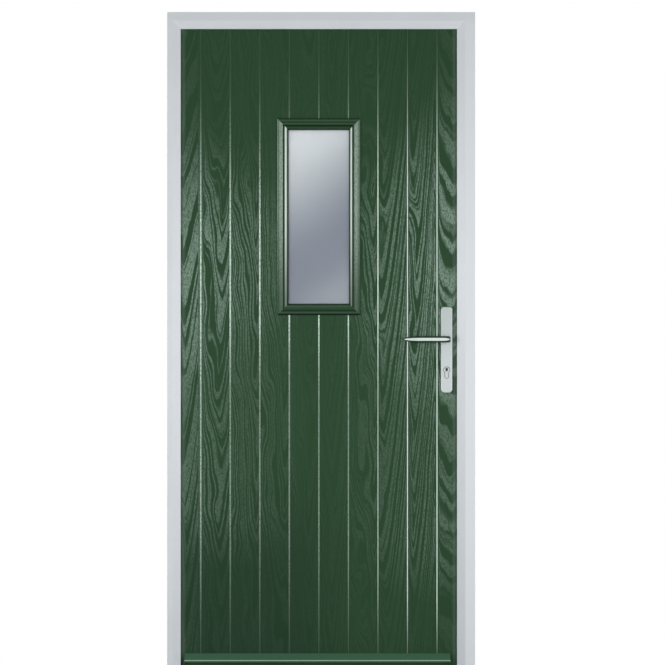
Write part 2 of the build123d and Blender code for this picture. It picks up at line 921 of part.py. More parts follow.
# Twin-finned wiper under the leaf
with BuildPart() as bottom_seal:
    with BuildSketch(Plane.YZ.offset(leaf_left + bottom_seal_inset)):
        with Locations((0, (leaf_bottom + threshold_base + running_gap) / 2)):
            Rectangle(bottom_seal_width, leaf_floor_gap - running_gap)
        with Locations((0, leaf_bottom - bottom_seal_root)):
            Rectangle(
                bottom_seal_slit,
                leaf_floor_gap,
                align=(Align.CENTER, Align.MAX),
                mode=Mode.SUBTRACT,
            )
    extrude(amount=leaf_right - leaf_left - 2 * bottom_seal_inset)
save(bottom_seal, "bottom_seal")

# Lock in the leaf's edge: faceplate, cases and what they carry
cylinder_screw_point = (
    leaf_right,
    0,
    cylinder_height + cylinder_radius - cylinder_total_height + cylinder_bridge / 2,
)
cylinder_screw_places = screw_places([cylinder_screw_point], faces_lock)
cylinder_screw_length = backset + cylinder_leg_width / 2 - case_wall
slot_gap = 2 * running_gap
with BuildPart() as lock_faceplate:
    with BuildSketch(Plane.YZ.offset(faceplate_back)):
        with Locations((0, faceplate_middle)):
            RectangleRounded(faceplate_width, faceplate_length, faceplate_corner)
        with Locations((0, latch_height_centre)):
            Rectangle(latch_thickness + slot_gap, latch_height + slot_gap, mode=Mode.SUBTRACT)
        with Locations((0, deadbolt_height_centre)):
            Rectangle(
                deadbolt_thickness + slot_gap, deadbolt_height + slot_gap, mode=Mode.SUBTRACT
            )
        for z in hook_heights:
            with Locations((0, z + (plate_hook_high - hook_low) / 2)):
                Rectangle(
                    hook_thickness + 2 * keep_slot_margin,
                    plate_hook_high + hook_low,
                    mode=Mode.SUBTRACT,
                )
    extrude(amount=faceplate_thickness)
    with Locations(*faceplate_places, *cylinder_screw_places):
        sink(screw_radius, screw_head_radius)
save(lock_faceplate, "lock_faceplate")

with BuildPart() as faceplate_screws:
    with Locations(*faceplate_places):
        add(screw_blank(screw_radius, screw_head_radius, faceplate_screw_length))
save(faceplate_screws, "faceplate_screws")

case_span = case_high - case_low
case_middle = (case_low + case_high) / 2
with BuildPart() as lock_case:
    with BuildSketch(Plane.YZ.offset(case_back)):
        with Locations((0, case_middle)):
            Rectangle(case_thickness, case_span)
    extrude(amount=case_depth)
    with BuildSketch(Plane.YZ.offset(case_back + case_wall)):
        with Locations((0, case_middle)):
            Rectangle(case_thickness - 2 * case_wall, case_span - 2 * case_wall)
    extrude(amount=case_depth, mode=Mode.SUBTRACT)
    with BuildSketch(Plane.XZ):
        with Locations((spindle_x, spindle_height)):
            Circle(follower_radius + fit)
    extrude(amount=case_thickness, both=True, mode=Mode.SUBTRACT)
    extrude(cylinder_hole, amount=case_thickness, both=True, mode=Mode.SUBTRACT)
save(lock_case, "lock_case")

hook_inner_half = hook_thickness / 2 + fit
hook_case_depth = case_front - hook_case_back
for name, z in zip(("upper_hook_case", "lower_hook_case"), hook_heights):
    low = z - hook_case_low
    high = z + hook_case_high
    with BuildPart() as hook_case:
        with BuildSketch(Plane.YZ.offset(hook_case_back)):
            with Locations((0, (low + high) / 2)):
                Rectangle(2 * hook_case_half, high - low)
        extrude(amount=hook_case_depth)
        with BuildSketch(Plane.YZ.offset(hook_case_back + hook_case_wall)):
            with Locations((0, (low + high) / 2)):
                Rectangle(2 * hook_inner_half, high - low - 2 * hook_case_wall)
        extrude(amount=hook_case_depth, mode=Mode.SUBTRACT)
        with BuildSketch(Plane.XZ):
            with Locations((hook_pivot_x, z)):
                Circle(hook_pin_radius)
        extrude(amount=hook_case_half, both=True)
    save(hook_case, name)

for name, z in zip(("upper_hook", "lower_hook"), hook_heights):
    with BuildPart() as hook:
        with BuildSketch(Plane.XZ) as hook_outline:
            with Locations((hook_pivot_x, z)):
                Circle(hook_boss_radius)
            with Locations((hook_pivot_x, z + hook_arm / 2)):
                Rectangle(hook_arm_width, hook_arm)
            with Locations((hook_pivot_x - hook_arm_width / 2, z + hook_arm)):
                Rectangle(hook_beak, hook_beak_width, align=(Align.MAX, Align.MAX))
            fillet(hook_outline.vertices().group_by(Axis.Y)[-1], hook_round)
            with Locations((hook_pivot_x, z)):
                Circle(hook_pin_radius + fit, mode=Mode.SUBTRACT)
        extrude(amount=hook_thickness / 2, both=True)
    save(hook, name)

with BuildPart() as drive_rods:
    with BuildSketch(Plane.YZ.offset(rod_front - rod_thickness)):
        for low, high in ((upper_rod_low, upper_rod_high), (lower_rod_low, lower_rod_high)):
            with Locations((0, (low + high) / 2)):
                Rectangle(rod_width, high - low)
    extrude(amount=rod_thickness)
save(drive_rods, "drive_rods")

latch_low = latch_height_centre - latch_height / 2
latch_half = latch_thickness / 2
with BuildPart() as latch_bolt:
    with BuildSketch(Plane.XY.offset(latch_low)):
        with BuildLine():
            Polyline(
                (leaf_right - latch_length, -latch_half),
                (leaf_right - latch_bevel, -latch_half),
                (leaf_right, latch_half - latch_tip),
                (leaf_right, latch_half),
                (leaf_right - latch_length, latch_half),
                close=True,
            )
        make_face()
    extrude(amount=latch_height)
save(latch_bolt, "latch_bolt")

with BuildPart() as deadbolt:
    with BuildSketch(Plane.YZ.offset(leaf_right - deadbolt_length)):
        with Locations((0, deadbolt_height_centre)):
            Rectangle(deadbolt_thickness, deadbolt_height)
    extrude(amount=deadbolt_length)
    chamfer(deadbolt.faces().sort_by(Axis.X)[-1].edges(), deadbolt_chamfer)
save(deadbolt, "deadbolt")

with BuildPart() as follower:
    with BuildSketch(Plane.XZ):
        with Locations((spindle_x, spindle_height)):
            Circle(follower_radius)
    extrude(amount=follower_length / 2, both=True)
    with BuildSketch(Plane.XZ):
        with Locations((spindle_x, spindle_height)):
            Rectangle(follower_arm, follower_arm_side, align=(Align.MAX, Align.CENTER))
    extrude(amount=follower_arm_side / 2, both=True)
    with BuildSketch(Plane.XZ):
        with Locations((spindle_x, spindle_height)):
            Rectangle(spindle_side + 2 * fit, spindle_side + 2 * fit)
    extrude(amount=follower_length, both=True, mode=Mode.SUBTRACT)
save(follower, "follower")

# Handles: a lever on a long backplate, outside and inside
lever_y = leaf_front - plate_thickness - lever_stand_off
with BuildSketch(across(leaf_front)) as plate_outline:
    with Locations((spindle_x, plate_height_centre)):
        Rectangle(plate_width, plate_height)
    fillet(plate_outline.vertices().group_by(Axis.Y)[-1], plate_top_corner)
    fillet(plate_outline.vertices().group_by(Axis.Y)[0], plate_foot_corner)

with BuildPart() as outer_backplate:
    extrude(plate_outline.sketch, amount=plate_thickness)
    fillet(outer_backplate.faces().sort_by(Axis.Y)[0].edges(), plate_edge)
    with BuildSketch(Plane.XZ):
        with Locations((spindle_x, spindle_height)):
            Circle(spigot_radius + fit)
    extrude(amount=leaf_thickness, mode=Mode.SUBTRACT)
    extrude(cylinder_hole, amount=leaf_thickness, mode=Mode.SUBTRACT)
    with BuildSketch(across(leaf_front)):
        with Locations(*[(spindle_x, z) for z in bolt_heights]):
            Circle(lug_radius)
    extrude(amount=-lug_length)
    with BuildSketch(across(leaf_front)):
        with Locations(*[(spindle_x, z) for z in bolt_heights]):
            Circle(bolt_radius + fit)
    extrude(amount=-lug_length, mode=Mode.SUBTRACT)
save(outer_backplate, "outer_backplate")

handle_bolt_places = screw_places([(spindle_x, plate_face, z) for z in bolt_heights], faces_room)
with BuildPart() as inner_backplate:
    extrude(mirror(plate_outline.sketch, about=Plane.XZ, mode=Mode.PRIVATE), amount=plate_thickness)
    fillet(inner_backplate.faces().sort_by(Axis.Y)[-1].edges(), plate_edge)
    with BuildSketch(Plane.XZ):
        with Locations((spindle_x, spindle_height)):
            Circle(spigot_radius + fit)
    extrude(amount=-leaf_thickness, mode=Mode.SUBTRACT)
    extrude(cylinder_hole, amount=-leaf_thickness, mode=Mode.SUBTRACT)
    with Locations(*handle_bolt_places):
        sink(bolt_radius, bolt_head_radius)
save(inner_backplate, "inner_backplate")

with BuildPart() as handle_bolts:
    with Locations(*handle_bolt_places):
        add(screw_blank(bolt_radius, bolt_head_radius, bolt_grip))
save(handle_bolts, "handle_bolts")

spigot_back = leaf_front - plate_thickness + spigot_length
collar_front = leaf_front - plate_thickness - running_gap - collar_length
heel_x = spindle_x + lever_heel
tip_x = spindle_x - lever_reach
nose_x = tip_x + lever_nose
lever_top = spindle_height + lever_height / 2
flat_nose = lever_nose + lever_flat_lead
with BuildPart() as outer_lever:
    # A bar turned to a long rounded nose, then flattened at the front and back
    with BuildSketch(across(lever_y)):
        with BuildLine():
            Polyline(
                (tip_x, spindle_height),
                (heel_x, spindle_height),
                (heel_x, lever_top - lever_heel_round),
            )
            RadiusArc(
                (heel_x, lever_top - lever_heel_round),
                (heel_x - lever_heel_round, lever_top),
                -lever_heel_round,
            )
            Line((heel_x - lever_heel_round, lever_top), (nose_x, lever_top))
            EllipticalCenterArc(
                (nose_x, spindle_height), lever_nose, lever_height / 2, start_angle=90, arc_size=90
            )
        make_face()
    revolve(axis=Axis((spindle_x, lever_y, spindle_height), (1, 0, 0)))
    with BuildSketch(Plane.XY.offset(spindle_height - lever_height)):
        with Locations((nose_x, lever_y)):
            Rectangle(
                heel_x - nose_x + cut_over, lever_thickness, align=(Align.MIN, Align.CENTER)
            )
            Ellipse(flat_nose, lever_thickness / 2)
    extrude(amount=2 * lever_height, mode=Mode.INTERSECT)
    with BuildSketch(across(spigot_back)):
        with Locations((spindle_x, spindle_height)):
            Circle(spigot_radius)
    extrude(amount=spigot_length + running_gap)
    with BuildSketch(across(leaf_front - plate_thickness - running_gap)):
        with Locations((spindle_x, spindle_height)):
            Circle(collar_radius)
    extrude(amount=collar_length)
    with BuildSketch(across(collar_front)):
        with Locations((spindle_x, spindle_height)):
            Circle(neck_radius)
    extrude(amount=collar_front - lever_y)
    with BuildSketch(across(spigot_back)):
        with Locations((spindle_x, spindle_height)):
            Rectangle(spindle_side + 2 * fit, spindle_side + 2 * fit)
    extrude(amount=spindle_length / 2 + spigot_back + fit, mode=Mode.SUBTRACT)
save(outer_lever, "outer_lever")

with BuildPart() as inner_lever:
    mirror(outer_lever.part, about=Plane.XZ)
save(inner_lever, "inner_lever")

with BuildPart() as spindle:
    with BuildSketch(Plane.XZ):
        with Locations((spindle_x, spindle_height)):
            Rectangle(spindle_side, spindle_side)
    extrude(amount=spindle_length / 2, both=True)
save(spindle, "spindle")

# Key cylinder with its turning plug, cam and inside turn
cylinder_body_outline = cylinder_outline(0)
with BuildPart() as cylinder_body:
    extrude(cylinder_body_outline, amount=cylinder_length / 2, both=True)
    with BuildSketch(Plane.XZ):
        with Locations((spindle_x, cylinder_height)):
            Circle(plug_radius + fit)
    extrude(amount=cylinder_length, both=True, mode=Mode.SUBTRACT)
    with BuildSketch(Plane.XZ):
        cam_floor = cylinder_screw_point[2] + cylinder_bridge / 2
        with Locations((spindle_x, cam_floor)):
            Rectangle(
                2 * cylinder_radius,
                cylinder_total_height,
                align=(Align.CENTER, Align.MIN),
            )
    extrude(amount=cam_slot / 2, both=True, mode=Mode.SUBTRACT)
    with Locations(*cylinder_screw_places):
        shank_hole(screw_radius, cylinder_screw_length)
save(cylinder_body, "cylinder_body")

with BuildPart() as cylinder_screw:
    with Locations(*cylinder_screw_places):
        add(screw_blank(screw_radius, screw_head_radius, cylinder_screw_length))
save(cylinder_screw, "cylinder_screw")

with BuildPart() as cylinder_plug:
    with BuildSketch(Plane.XZ):
        with Locations((spindle_x, cylinder_height)):
            Circle(plug_radius)
    extrude(amount=cylinder_length / 2, both=True)
    with BuildSketch(Plane.XZ):
        with Locations((spindle_x, cylinder_height)):
            Circle(cam_hub_radius)
            Rectangle(cam_tooth_width, cam_reach, align=(Align.CENTER, Align.MAX))
    extrude(amount=cam_width / 2, both=True)
    with BuildSketch(across(-cylinder_length / 2)):
        with Locations((spindle_x, cylinder_height)):
            Rectangle(keyway_width, keyway_height)
    extrude(amount=-keyway_depth, mode=Mode.SUBTRACT)
save(cylinder_plug, "cylinder_plug")

turn_back = cylinder_length / 2
with BuildPart() as thumbturn:
    with BuildSketch(across(turn_back)):
        with Locations((spindle_x, cylinder_height)):
            Circle(plug_radius)
    extrude(amount=-turn_neck)
    with BuildSketch(across(turn_back + turn_neck)):
        with Locations((spindle_x, cylinder_height)):
            SlotOverall(turn_height, turn_width, rotation=90)
    extrude(amount=-turn_length + turn_neck)
    fillet(thumbturn.faces().sort_by(Axis.Y)[-1].edges(), turn_edge)
save(thumbturn, "thumbturn")

# Keeps on the lock jamb
for name, (low, high) in zip(
    ("centre_keep", "upper_hook_keep", "lower_hook_keep"), keep_spans
):
    with BuildPart() as keep:
        with BuildSketch(Plane.YZ.offset(keep_face)):
            with Locations((0, (low + high) / 2)):
                RectangleRounded(keep_width, high - low, keep_corner)
        extrude(amount=keep_thickness)
        extrude(keep_slots.sketch, amount=lock_wall, mode=Mode.SUBTRACT)
        with Locations(*[place for place in keep_places if low < place.position.Z < high]):
            sink(screw_radius, screw_head_radius)
    save(keep, name)

with BuildPart() as keep_screws:
    with Locations(*keep_places):
        add(screw_blank(screw_radius, screw_head_radius, keep_screw_length))
save(keep_screws, "keep_screws")

# Flag hinges on the room side: two frame knuckles either side of one on the leaf
half_hinge = hinge_height / 2
leaf_knuckle = hinge_height * knuckle_share
flag_back = leaf_back + hinge_plate
frame_flag_right = frame_screw_x + frame_flag_width / 2
frame_flag_left = frame_screw_x - frame_flag_width / 2
web_drop = pivot_y - knuckle_radius
knuckle_gap = leaf_knuckle / 2 + running_gap
hinge_names = ("lower", "middle", "upper")
for name, z in zip(hinge_names, hinge_heights):
    with BuildPart() as frame_hinge:
        with BuildSketch(Plane.XY.offset(z - half_hinge)):
            with BuildLine():
                Polyline(
                    (frame_flag_left, leaf_back),
                    (frame_flag_right, leaf_back),
                    (frame_flag_right, flag_back),
                    (frame_flag_left, flag_back),
                    close=True,
                )
            make_face()
        extrude(amount=hinge_height)
        fillet(frame_hinge.edges().filter_by(Axis.Y).group_by(Axis.X)[0], flag_corner)
        for foot in (z - half_hinge, z + knuckle_gap):
            with BuildSketch(Plane.XY.offset(foot)):
                with BuildLine():
                    Polyline(
                        (frame_flag_right, leaf_back),
                        (hinge_wall, leaf_back),
                        (pivot_x, web_drop),
                        (pivot_x, pivot_y),
                        (pivot_x - knuckle_radius, pivot_y),
                        (frame_flag_right, flag_back),
                        close=True,
                    )
                make_face()
                with Locations((pivot_x, pivot_y)):
                    Circle(knuckle_radius)
                    Circle(knuckle_bore, mode=Mode.SUBTRACT)
            extrude(amount=half_hinge - knuckle_gap)
        with Locations(
            *[place for place in frame_hinge_places if abs(place.position.Z - z) < half_hinge]
        ):
            sink(screw_radius, screw_head_radius)
    save(frame_hinge, f"{name}_frame_hinge")

    with BuildPart() as leaf_hinge:
        with BuildSketch(Plane.XY.offset(z - half_hinge)):
            with BuildLine():
                Polyline(
                    (leaf_flag_left, leaf_back),
                    (leaf_flag_right, leaf_back),
                    (leaf_flag_right, flag_back),
                    (leaf_flag_left, flag_back),
                    close=True,
                )
            make_face()
        extrude(amount=hinge_height)
        fillet(leaf_hinge.edges().filter_by(Axis.Y).group_by(Axis.X)[-1], flag_corner)
        with BuildSketch(Plane.XY.offset(z - leaf_knuckle / 2)):
            with BuildLine():
                Polyline(
                    (leaf_flag_left, leaf_back),
                    (leaf_flag_left, flag_back),
                    (pivot_x + knuckle_radius, pivot_y),
                    (pivot_x, pivot_y),
                    (pivot_x, web_drop),
                    (leaf_left, leaf_back),
                    close=True,
                )
            make_face()
            with Locations((pivot_x, pivot_y)):
                Circle(knuckle_radius)
                Circle(knuckle_bore, mode=Mode.SUBTRACT)
        extrude(amount=leaf_knuckle)
        with Locations(
            *[place for place in leaf_hinge_places if abs(place.position.Z - z) < half_hinge]
        ):
            sink(screw_radius, screw_head_radius)
    save(leaf_hinge, f"{name}_leaf_hinge")

with BuildPart() as hinge_pins:
    for z in hinge_heights:
        with BuildSketch(Plane.XY.offset(z - half_hinge)):
            with Locations((pivot_x, pivot_y)):
                Circle(knuckle_bore - fit)
        extrude(amount=hinge_height)
        with BuildSketch(Plane.XY.offset(z + half_hinge)):
            with Locations((pivot_x, pivot_y)):
                Circle(knuckle_radius)
        extrude(amount=pin_head)
save(hinge_pins, "hinge_pins")

with BuildPart() as frame_hinge_screws:
    with Locations(*frame_hinge_places):
        add(screw_blank(screw_radius, screw_head_radius, hinge_screw_length))
save(frame_hinge_screws, "frame_hinge_screws")

with BuildPart() as leaf_hinge_screws:
    with Locations(*leaf_hinge_places):
        add(screw_blank(screw_radius, screw_head_radius, hinge_screw_length))
save(leaf_hinge_screws, "leaf_hinge_screws")
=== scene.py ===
import json
import logging
import math
from dataclasses import dataclass, field
from enum import Enum
from functools import reduce
from typing import Any, Callable, Iterable, Sequence

import bpy
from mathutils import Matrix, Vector


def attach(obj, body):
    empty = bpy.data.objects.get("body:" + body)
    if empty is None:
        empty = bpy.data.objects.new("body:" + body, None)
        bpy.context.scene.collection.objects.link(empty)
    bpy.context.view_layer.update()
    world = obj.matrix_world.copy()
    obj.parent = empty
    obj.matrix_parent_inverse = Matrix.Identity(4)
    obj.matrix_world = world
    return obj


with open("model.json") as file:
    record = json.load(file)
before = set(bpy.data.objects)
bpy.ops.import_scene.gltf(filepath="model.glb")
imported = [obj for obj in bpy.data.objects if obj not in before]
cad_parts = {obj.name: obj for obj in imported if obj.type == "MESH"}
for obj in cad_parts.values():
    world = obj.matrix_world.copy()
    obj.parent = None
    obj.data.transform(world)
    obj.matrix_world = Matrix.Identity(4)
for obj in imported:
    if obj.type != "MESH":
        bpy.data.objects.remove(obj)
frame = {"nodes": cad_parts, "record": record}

LOG = logging.getLogger("front_door")
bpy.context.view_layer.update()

Colour = tuple[float, float, float]
Triple = tuple[float, float, float]
Span = tuple[float, float]
Socket = bpy.types.NodeSocket
Node = bpy.types.Node
Material = bpy.types.Material

WHITE = (1.0, 1.0, 1.0, 1.0)


class Side(Enum):
    """Which face of the leaf a piece is on: its sign along Y."""

    OUTSIDE = -1.0
    ROOM = 1.0


def tone(red: float, green: float, blue: float) -> Colour:
    """Linear colour of a tone written in display steps of 0 to 255.

    Args:
        red, green, blue: the display steps.

    Returns:
        The linear colour.
    """

    def one(step: float) -> float:
        """Linear value of one display step."""
        value = step / 255.0
        return value / 12.92 if value <= 0.04045 else ((value + 0.055) / 1.055) ** 2.4

    return one(red), one(green), one(blue)


def scaled(colour: Colour, share: float) -> Colour:
    """Colour times a share, held at full white."""
    red, green, blue = (min(1.0, part * share) for part in colour)
    return red, green, blue


class Graph:
    """Short hand for building a node tree in code."""

    # Where the mix node keeps its two colours and their blend among sockets of every type.
    MIX_COLOURS = (6, 7)
    MIX_RESULT = 2

    def __init__(self, tree: bpy.types.NodeTree) -> None:
        """Keep the tree that nodes are added to."""
        self.tree = tree

    def put(self, target: Socket, value: Any) -> None:
        """Link an input to a socket, or set its value.

        Args:
            target: the input.
            value: a plain value, or the socket to link.
        """
        if isinstance(value, Socket):
            self.tree.links.new(value, target)
        else:
            target.default_value = value

    def add(self, kind: str, values: dict[Any, Any] | None = None, **settings: Any) -> Node:
        """Add one node.

        Args:
            kind: Blender's name of the node type.
            values: input name or number to a value or to a socket to link.
            settings: attributes set on the node before its inputs.

        Returns:
            The new node.
        """
        node = self.tree.nodes.new(kind)
        for name, value in settings.items():
            setattr(node, name, value)
        for key, value in (values or {}).items():
            self.put(node.inputs[key], value)
        return node

    def math(self, operation: str, first: Any, second: Any = 0.0, third: Any = 0.0) -> Socket:
        """Result of one arithmetic step on values or sockets."""
        node = self.add("ShaderNodeMath", {0: first, 1: second, 2: third}, operation=operation)
        return node.outputs[0]

    def product(self, *values: Any) -> Socket:
        """Product of two or more values or sockets."""
        return reduce(lambda first, second: self.math("MULTIPLY", first, second), values)

    def minus(self, first: Any, second: Any) -> Socket:
        """First value less the second."""
        return self.math("SUBTRACT", first, second)

    def away(self, value: Socket, middle: float) -> Socket:
        """Distance of a value from a middle."""
        return self.math("ABSOLUTE", self.minus(value, middle))

    def ramp(self, value: Any, low: Any, high: Any, start: Any = 0.0, end: Any = 1.0) -> Socket:
        """Smooth step of a value from one range to another, held at both ends.

        Args:
            value: the value.
            low, high: the range it comes from.
            start, end: the range it goes to.

        Returns:
            The socket of the result.
        """
        ranges = {"From Min": low, "From Max": high, "To Min": start, "To Max": end}
        node = self.add("ShaderNodeMapRange", {"Value": value, **ranges}, interpolation_type="SMOOTHSTEP")
        return node.outputs["Result"]

    def between(self, value: Socket, low: float, high: float, soft: float) -> Socket:
        """Mask of a value between two limits, with soft ends."""
        rise = self.ramp(value, low - soft, low + soft)
        return self.product(rise, self.ramp(value, high + soft, high - soft))

    def mix(self, factor: Any, first: Any, second: Any) -> Socket:
        """Blend of two colours.

        Args:
            factor: the second colour's share.
            first, second: colours or sockets.

        Returns:
            The socket of the blend.
        """
        node = self.add("ShaderNodeMix", {0: factor}, data_type="RGBA")
        for key, value in zip(self.MIX_COLOURS, (first, second)):
            self.put(node.inputs[key], value if isinstance(value, Socket) else (*value, 1.0))
        return node.outputs[self.MIX_RESULT]

    def noise(self, vector: Socket, scale: Any = 1.0, detail: float = 2.0, rough: float = 0.5) -> Socket:
        """Smooth noise value over a vector."""
        values = {"Vector": vector, "Scale": scale, "Detail": detail, "Roughness": rough}
        return self.add("ShaderNodeTexNoise", values).outputs[0]

    def luck(self, seed: Socket) -> Socket:
        """Value of chance that is the same for the same seed."""
        return self.add("ShaderNodeTexWhiteNoise", {"W": seed}, noise_dimensions="1D").outputs["Value"]

    def stretch(self, vector: Socket, scale: Triple) -> Socket:
        """Vector with each direction scaled by its own factor."""
        return self.add("ShaderNodeMapping", {"Vector": vector, "Scale": scale}).outputs["Vector"]

    def vector(self, operation: str, first: Any, second: Any = (0.0, 0.0, 0.0)) -> Any:
        """Outputs of one step of arithmetic on vectors."""
        return self.add("ShaderNodeVectorMath", {0: first, 1: second}, operation=operation).outputs

    def place(self) -> Socket:
        """The place on the surface in Object coordinates."""
        return self.add("ShaderNodeTexCoord").outputs["Object"]

    def axes(self, place: Socket) -> Any:
        """X, Y and Z of a place."""
        return self.add("ShaderNodeSeparateXYZ", {0: place}).outputs

    def rays(self, *kinds: str) -> Socket:
        """Mask of the rays of some kinds, named as the light path node names them."""
        path = self.add("ShaderNodeLightPath").outputs
        return reduce(lambda first, second: self.math("MAXIMUM", first, second), map(path.get, kinds))


def blank(owner: Any) -> Graph:
    """Clear the node tree of a material or a world.

    Args:
        owner: the material or world.

    Returns:
        The graph of its empty tree.
    """
    owner.use_nodes = True
    owner.node_tree.nodes.clear()
    return Graph(owner.node_tree)


@dataclass(frozen=True)
class GrainShape:
    """How the board grain is drawn: edges counted in boards, heights in metres, the rest as shares."""

    second_draw: float = 41.5
    board_step: float = 9.0
    sideways: float = 0.8
    slow_stretch: Triple = (10.0, 1.0, 2.6)
    slow_rough: float = 0.55
    quick_stretch: Triple = (55.0, 1.0, 14.0)
    lock_edge: Span = (3.9, 4.1)
    lock_offset: float = 0.15
    hinge_edge: Span = (-3.9, -4.1)
    hinge_top: Span = (1.15, 1.45)
    hinge_level: float = 0.03
    steep_spread: float = 0.9
    steep_least: float = 0.5
    arch_power: float = 1.4
    rise: float = 1.05
    ring_step: float = 37.0
    wave_rings: float = 0.55
    quick_rings: float = 0.028
    quick_level: float = 0.1
    band_rough: float = 0.55
    band_edge: Span = (0.45, 0.55)
    pore_stretch: Triple = (330.0, 330.0, 150.0)
    pore_rough: float = 0.65


@dataclass
class GroupShop:
    """Shader groups that several finishes share, each built once."""

    shape: GrainShape = GrainShape()
    cloud_scale: float = 7.0
    cloud_detail: float = 3.0
    brush_detail: float = 3.0
    brush_rough: float = 0.6
    made: dict[str, bpy.types.ShaderNodeTree] = field(default_factory=dict)

    def get(
        self,
        name: str,
        inputs: dict[str, Any],
        outputs: Sequence[str],
        fill: Callable[[Graph, Any], dict[str, Socket]],
    ) -> bpy.types.ShaderNodeTree:
        """Return a group, building it on first use.

        Args:
            name: the group's name.
            inputs: input name to its first value, a number, a vector or nothing for a plain vector.
            outputs: names of the outputs, all numbers.
            fill: builds the inside from the given inputs and returns a socket for each output.

        Returns:
            The shader node group.
        """
        if name in self.made:
            return self.made[name]
        tree = bpy.data.node_groups.new(name, "ShaderNodeTree")
        for label, value in inputs.items():
            kind = "NodeSocketFloat" if isinstance(value, float) else "NodeSocketVector"
            socket = tree.interface.new_socket(label, in_out="INPUT", socket_type=kind)
            if value is not None:
                socket.default_value = value
        for label in outputs:
            tree.interface.new_socket(label, in_out="OUTPUT", socket_type="NodeSocketFloat")
        graph = Graph(tree)
        results = fill(graph, graph.add("NodeGroupInput").outputs)
        target = graph.add("NodeGroupOutput")
        for label, socket in results.items():
            graph.put(target.inputs[label], socket)
        self.made[name] = tree
        return tree

    def fill_grain(self, graph: Graph, given: Any) -> dict[str, Socket]:
        """Build the bands and pores from the place on the board.

        Args:
            graph: the group's graph.
            given: the group's inputs.

        Returns:
            The socket of each output.
        """
        shape = self.shape
        x, _, z = graph.axes(given["Vector"])
        boards = graph.math("DIVIDE", graph.minus(x, given["Centre"]), given["Pitch"])
        index = graph.math("FLOOR", boards)
        lot = graph.luck(index)
        twin = graph.luck(graph.math("ADD", index, shape.second_draw))
        own = {0: x, 1: graph.product(lot, shape.board_step), 2: z}
        moved = graph.add("ShaderNodeCombineXYZ", own).outputs[0]
        slow = graph.noise(graph.stretch(moved, shape.slow_stretch), rough=shape.slow_rough)
        quick = graph.noise(graph.stretch(moved, shape.quick_stretch), detail=1.0)
        calm = graph.ramp(boards, *shape.lock_edge, 1.0, given["Edge Arch"])
        wave = graph.product(graph.minus(slow, 0.5), calm)
        edge = graph.ramp(boards, *shape.hinge_edge)
        upper = graph.product(edge, graph.ramp(z, *shape.hinge_top))
        flat = graph.math("MULTIPLY_ADD", upper, graph.minus(given["Hinge Arch"], 1.0), 1.0)
        shift = graph.product(graph.minus(lot, 0.5), shape.sideways, flat)
        across = graph.minus(graph.math("FRACT", boards), 0.5)
        lively = graph.minus(1.0, calm)
        for part, share in ((shift, calm), (lively, shape.lock_offset), (wave, shape.sideways)):
            across = graph.math("MULTIPLY_ADD", part, share, across)
        steep = graph.math("MULTIPLY_ADD", twin, shape.steep_spread, shape.steep_least)
        bow = graph.math("POWER", graph.math("ABSOLUTE", across), shape.arch_power)
        arch = graph.product(bow, graph.product(steep, calm, flat))
        ring = graph.minus(graph.product(z, shape.rise), arch)
        for part, share in ((lot, shape.ring_step), (wave, shape.wave_rings), (quick, shape.quick_rings)):
            ring = graph.math("ADD", ring, graph.product(part, share))
        ring = graph.product(ring, graph.ramp(boards, *shape.hinge_edge, 1.0, given["Edge Bands"]))
        values = {"W": ring, "Scale": given["Bands"], "Detail": 1.0, "Roughness": shape.band_rough}
        level = graph.add("ShaderNodeTexNoise", values, noise_dimensions="1D").outputs[0]
        level = graph.math("MULTIPLY_ADD", graph.minus(quick, 0.5), shape.quick_level, level)
        level = graph.math("MULTIPLY_ADD", edge, shape.hinge_level, level)
        pores = graph.noise(graph.stretch(given["Vector"], shape.pore_stretch), rough=shape.pore_rough)
        return {"Band": graph.ramp(level, *shape.band_edge), "Pores": pores}

    def grain(self) -> bpy.types.ShaderNodeTree:
        """Embossed board grain: arched bands on each board and fine pores.

        Returns:
            The shader node group.
        """
        sizes = {"Vector": None, "Centre": 0.0, "Pitch": 0.09, "Bands": 9.0}
        shares = {"Edge Bands": 1.0, "Edge Arch": 1.0, "Hinge Arch": 1.0}
        return self.get("board_grain", {**sizes, **shares}, ("Band", "Pores"), self.fill_grain)

    def fill_variation(self, graph: Graph, given: Any) -> dict[str, Socket]:
        """Build a slow cloud and a fine speck from the place."""
        cloud = graph.noise(given["Vector"], self.cloud_scale, self.cloud_detail)
        return {"Cloud": cloud, "Speck": graph.noise(given["Vector"], given["Specks"])}

    def variation(self) -> bpy.types.ShaderNodeTree:
        """Slow and fine unevenness of a moulded, cast or extruded surface."""
        inputs = {"Vector": None, "Specks": 900.0}
        return self.get("surface_variation", inputs, ("Cloud", "Speck"), self.fill_variation)

    def fill_brushed(self, graph: Graph, given: Any) -> dict[str, Socket]:
        """Build lines that are long along one direction."""
        place = graph.vector("MULTIPLY", given["Vector"], given["Stretch"])[0]
        return {"Lines": graph.noise(place, detail=self.brush_detail, rough=self.brush_rough)}

    def brushed(self) -> bpy.types.ShaderNodeTree:
        """Fine parallel lines of brushed or drawn metal."""
        inputs = {"Vector": None, "Stretch": (900.0, 900.0, 30.0)}
        return self.get("brushed_lines", inputs, ("Lines",), self.fill_brushed)


GROUPS = GroupShop()


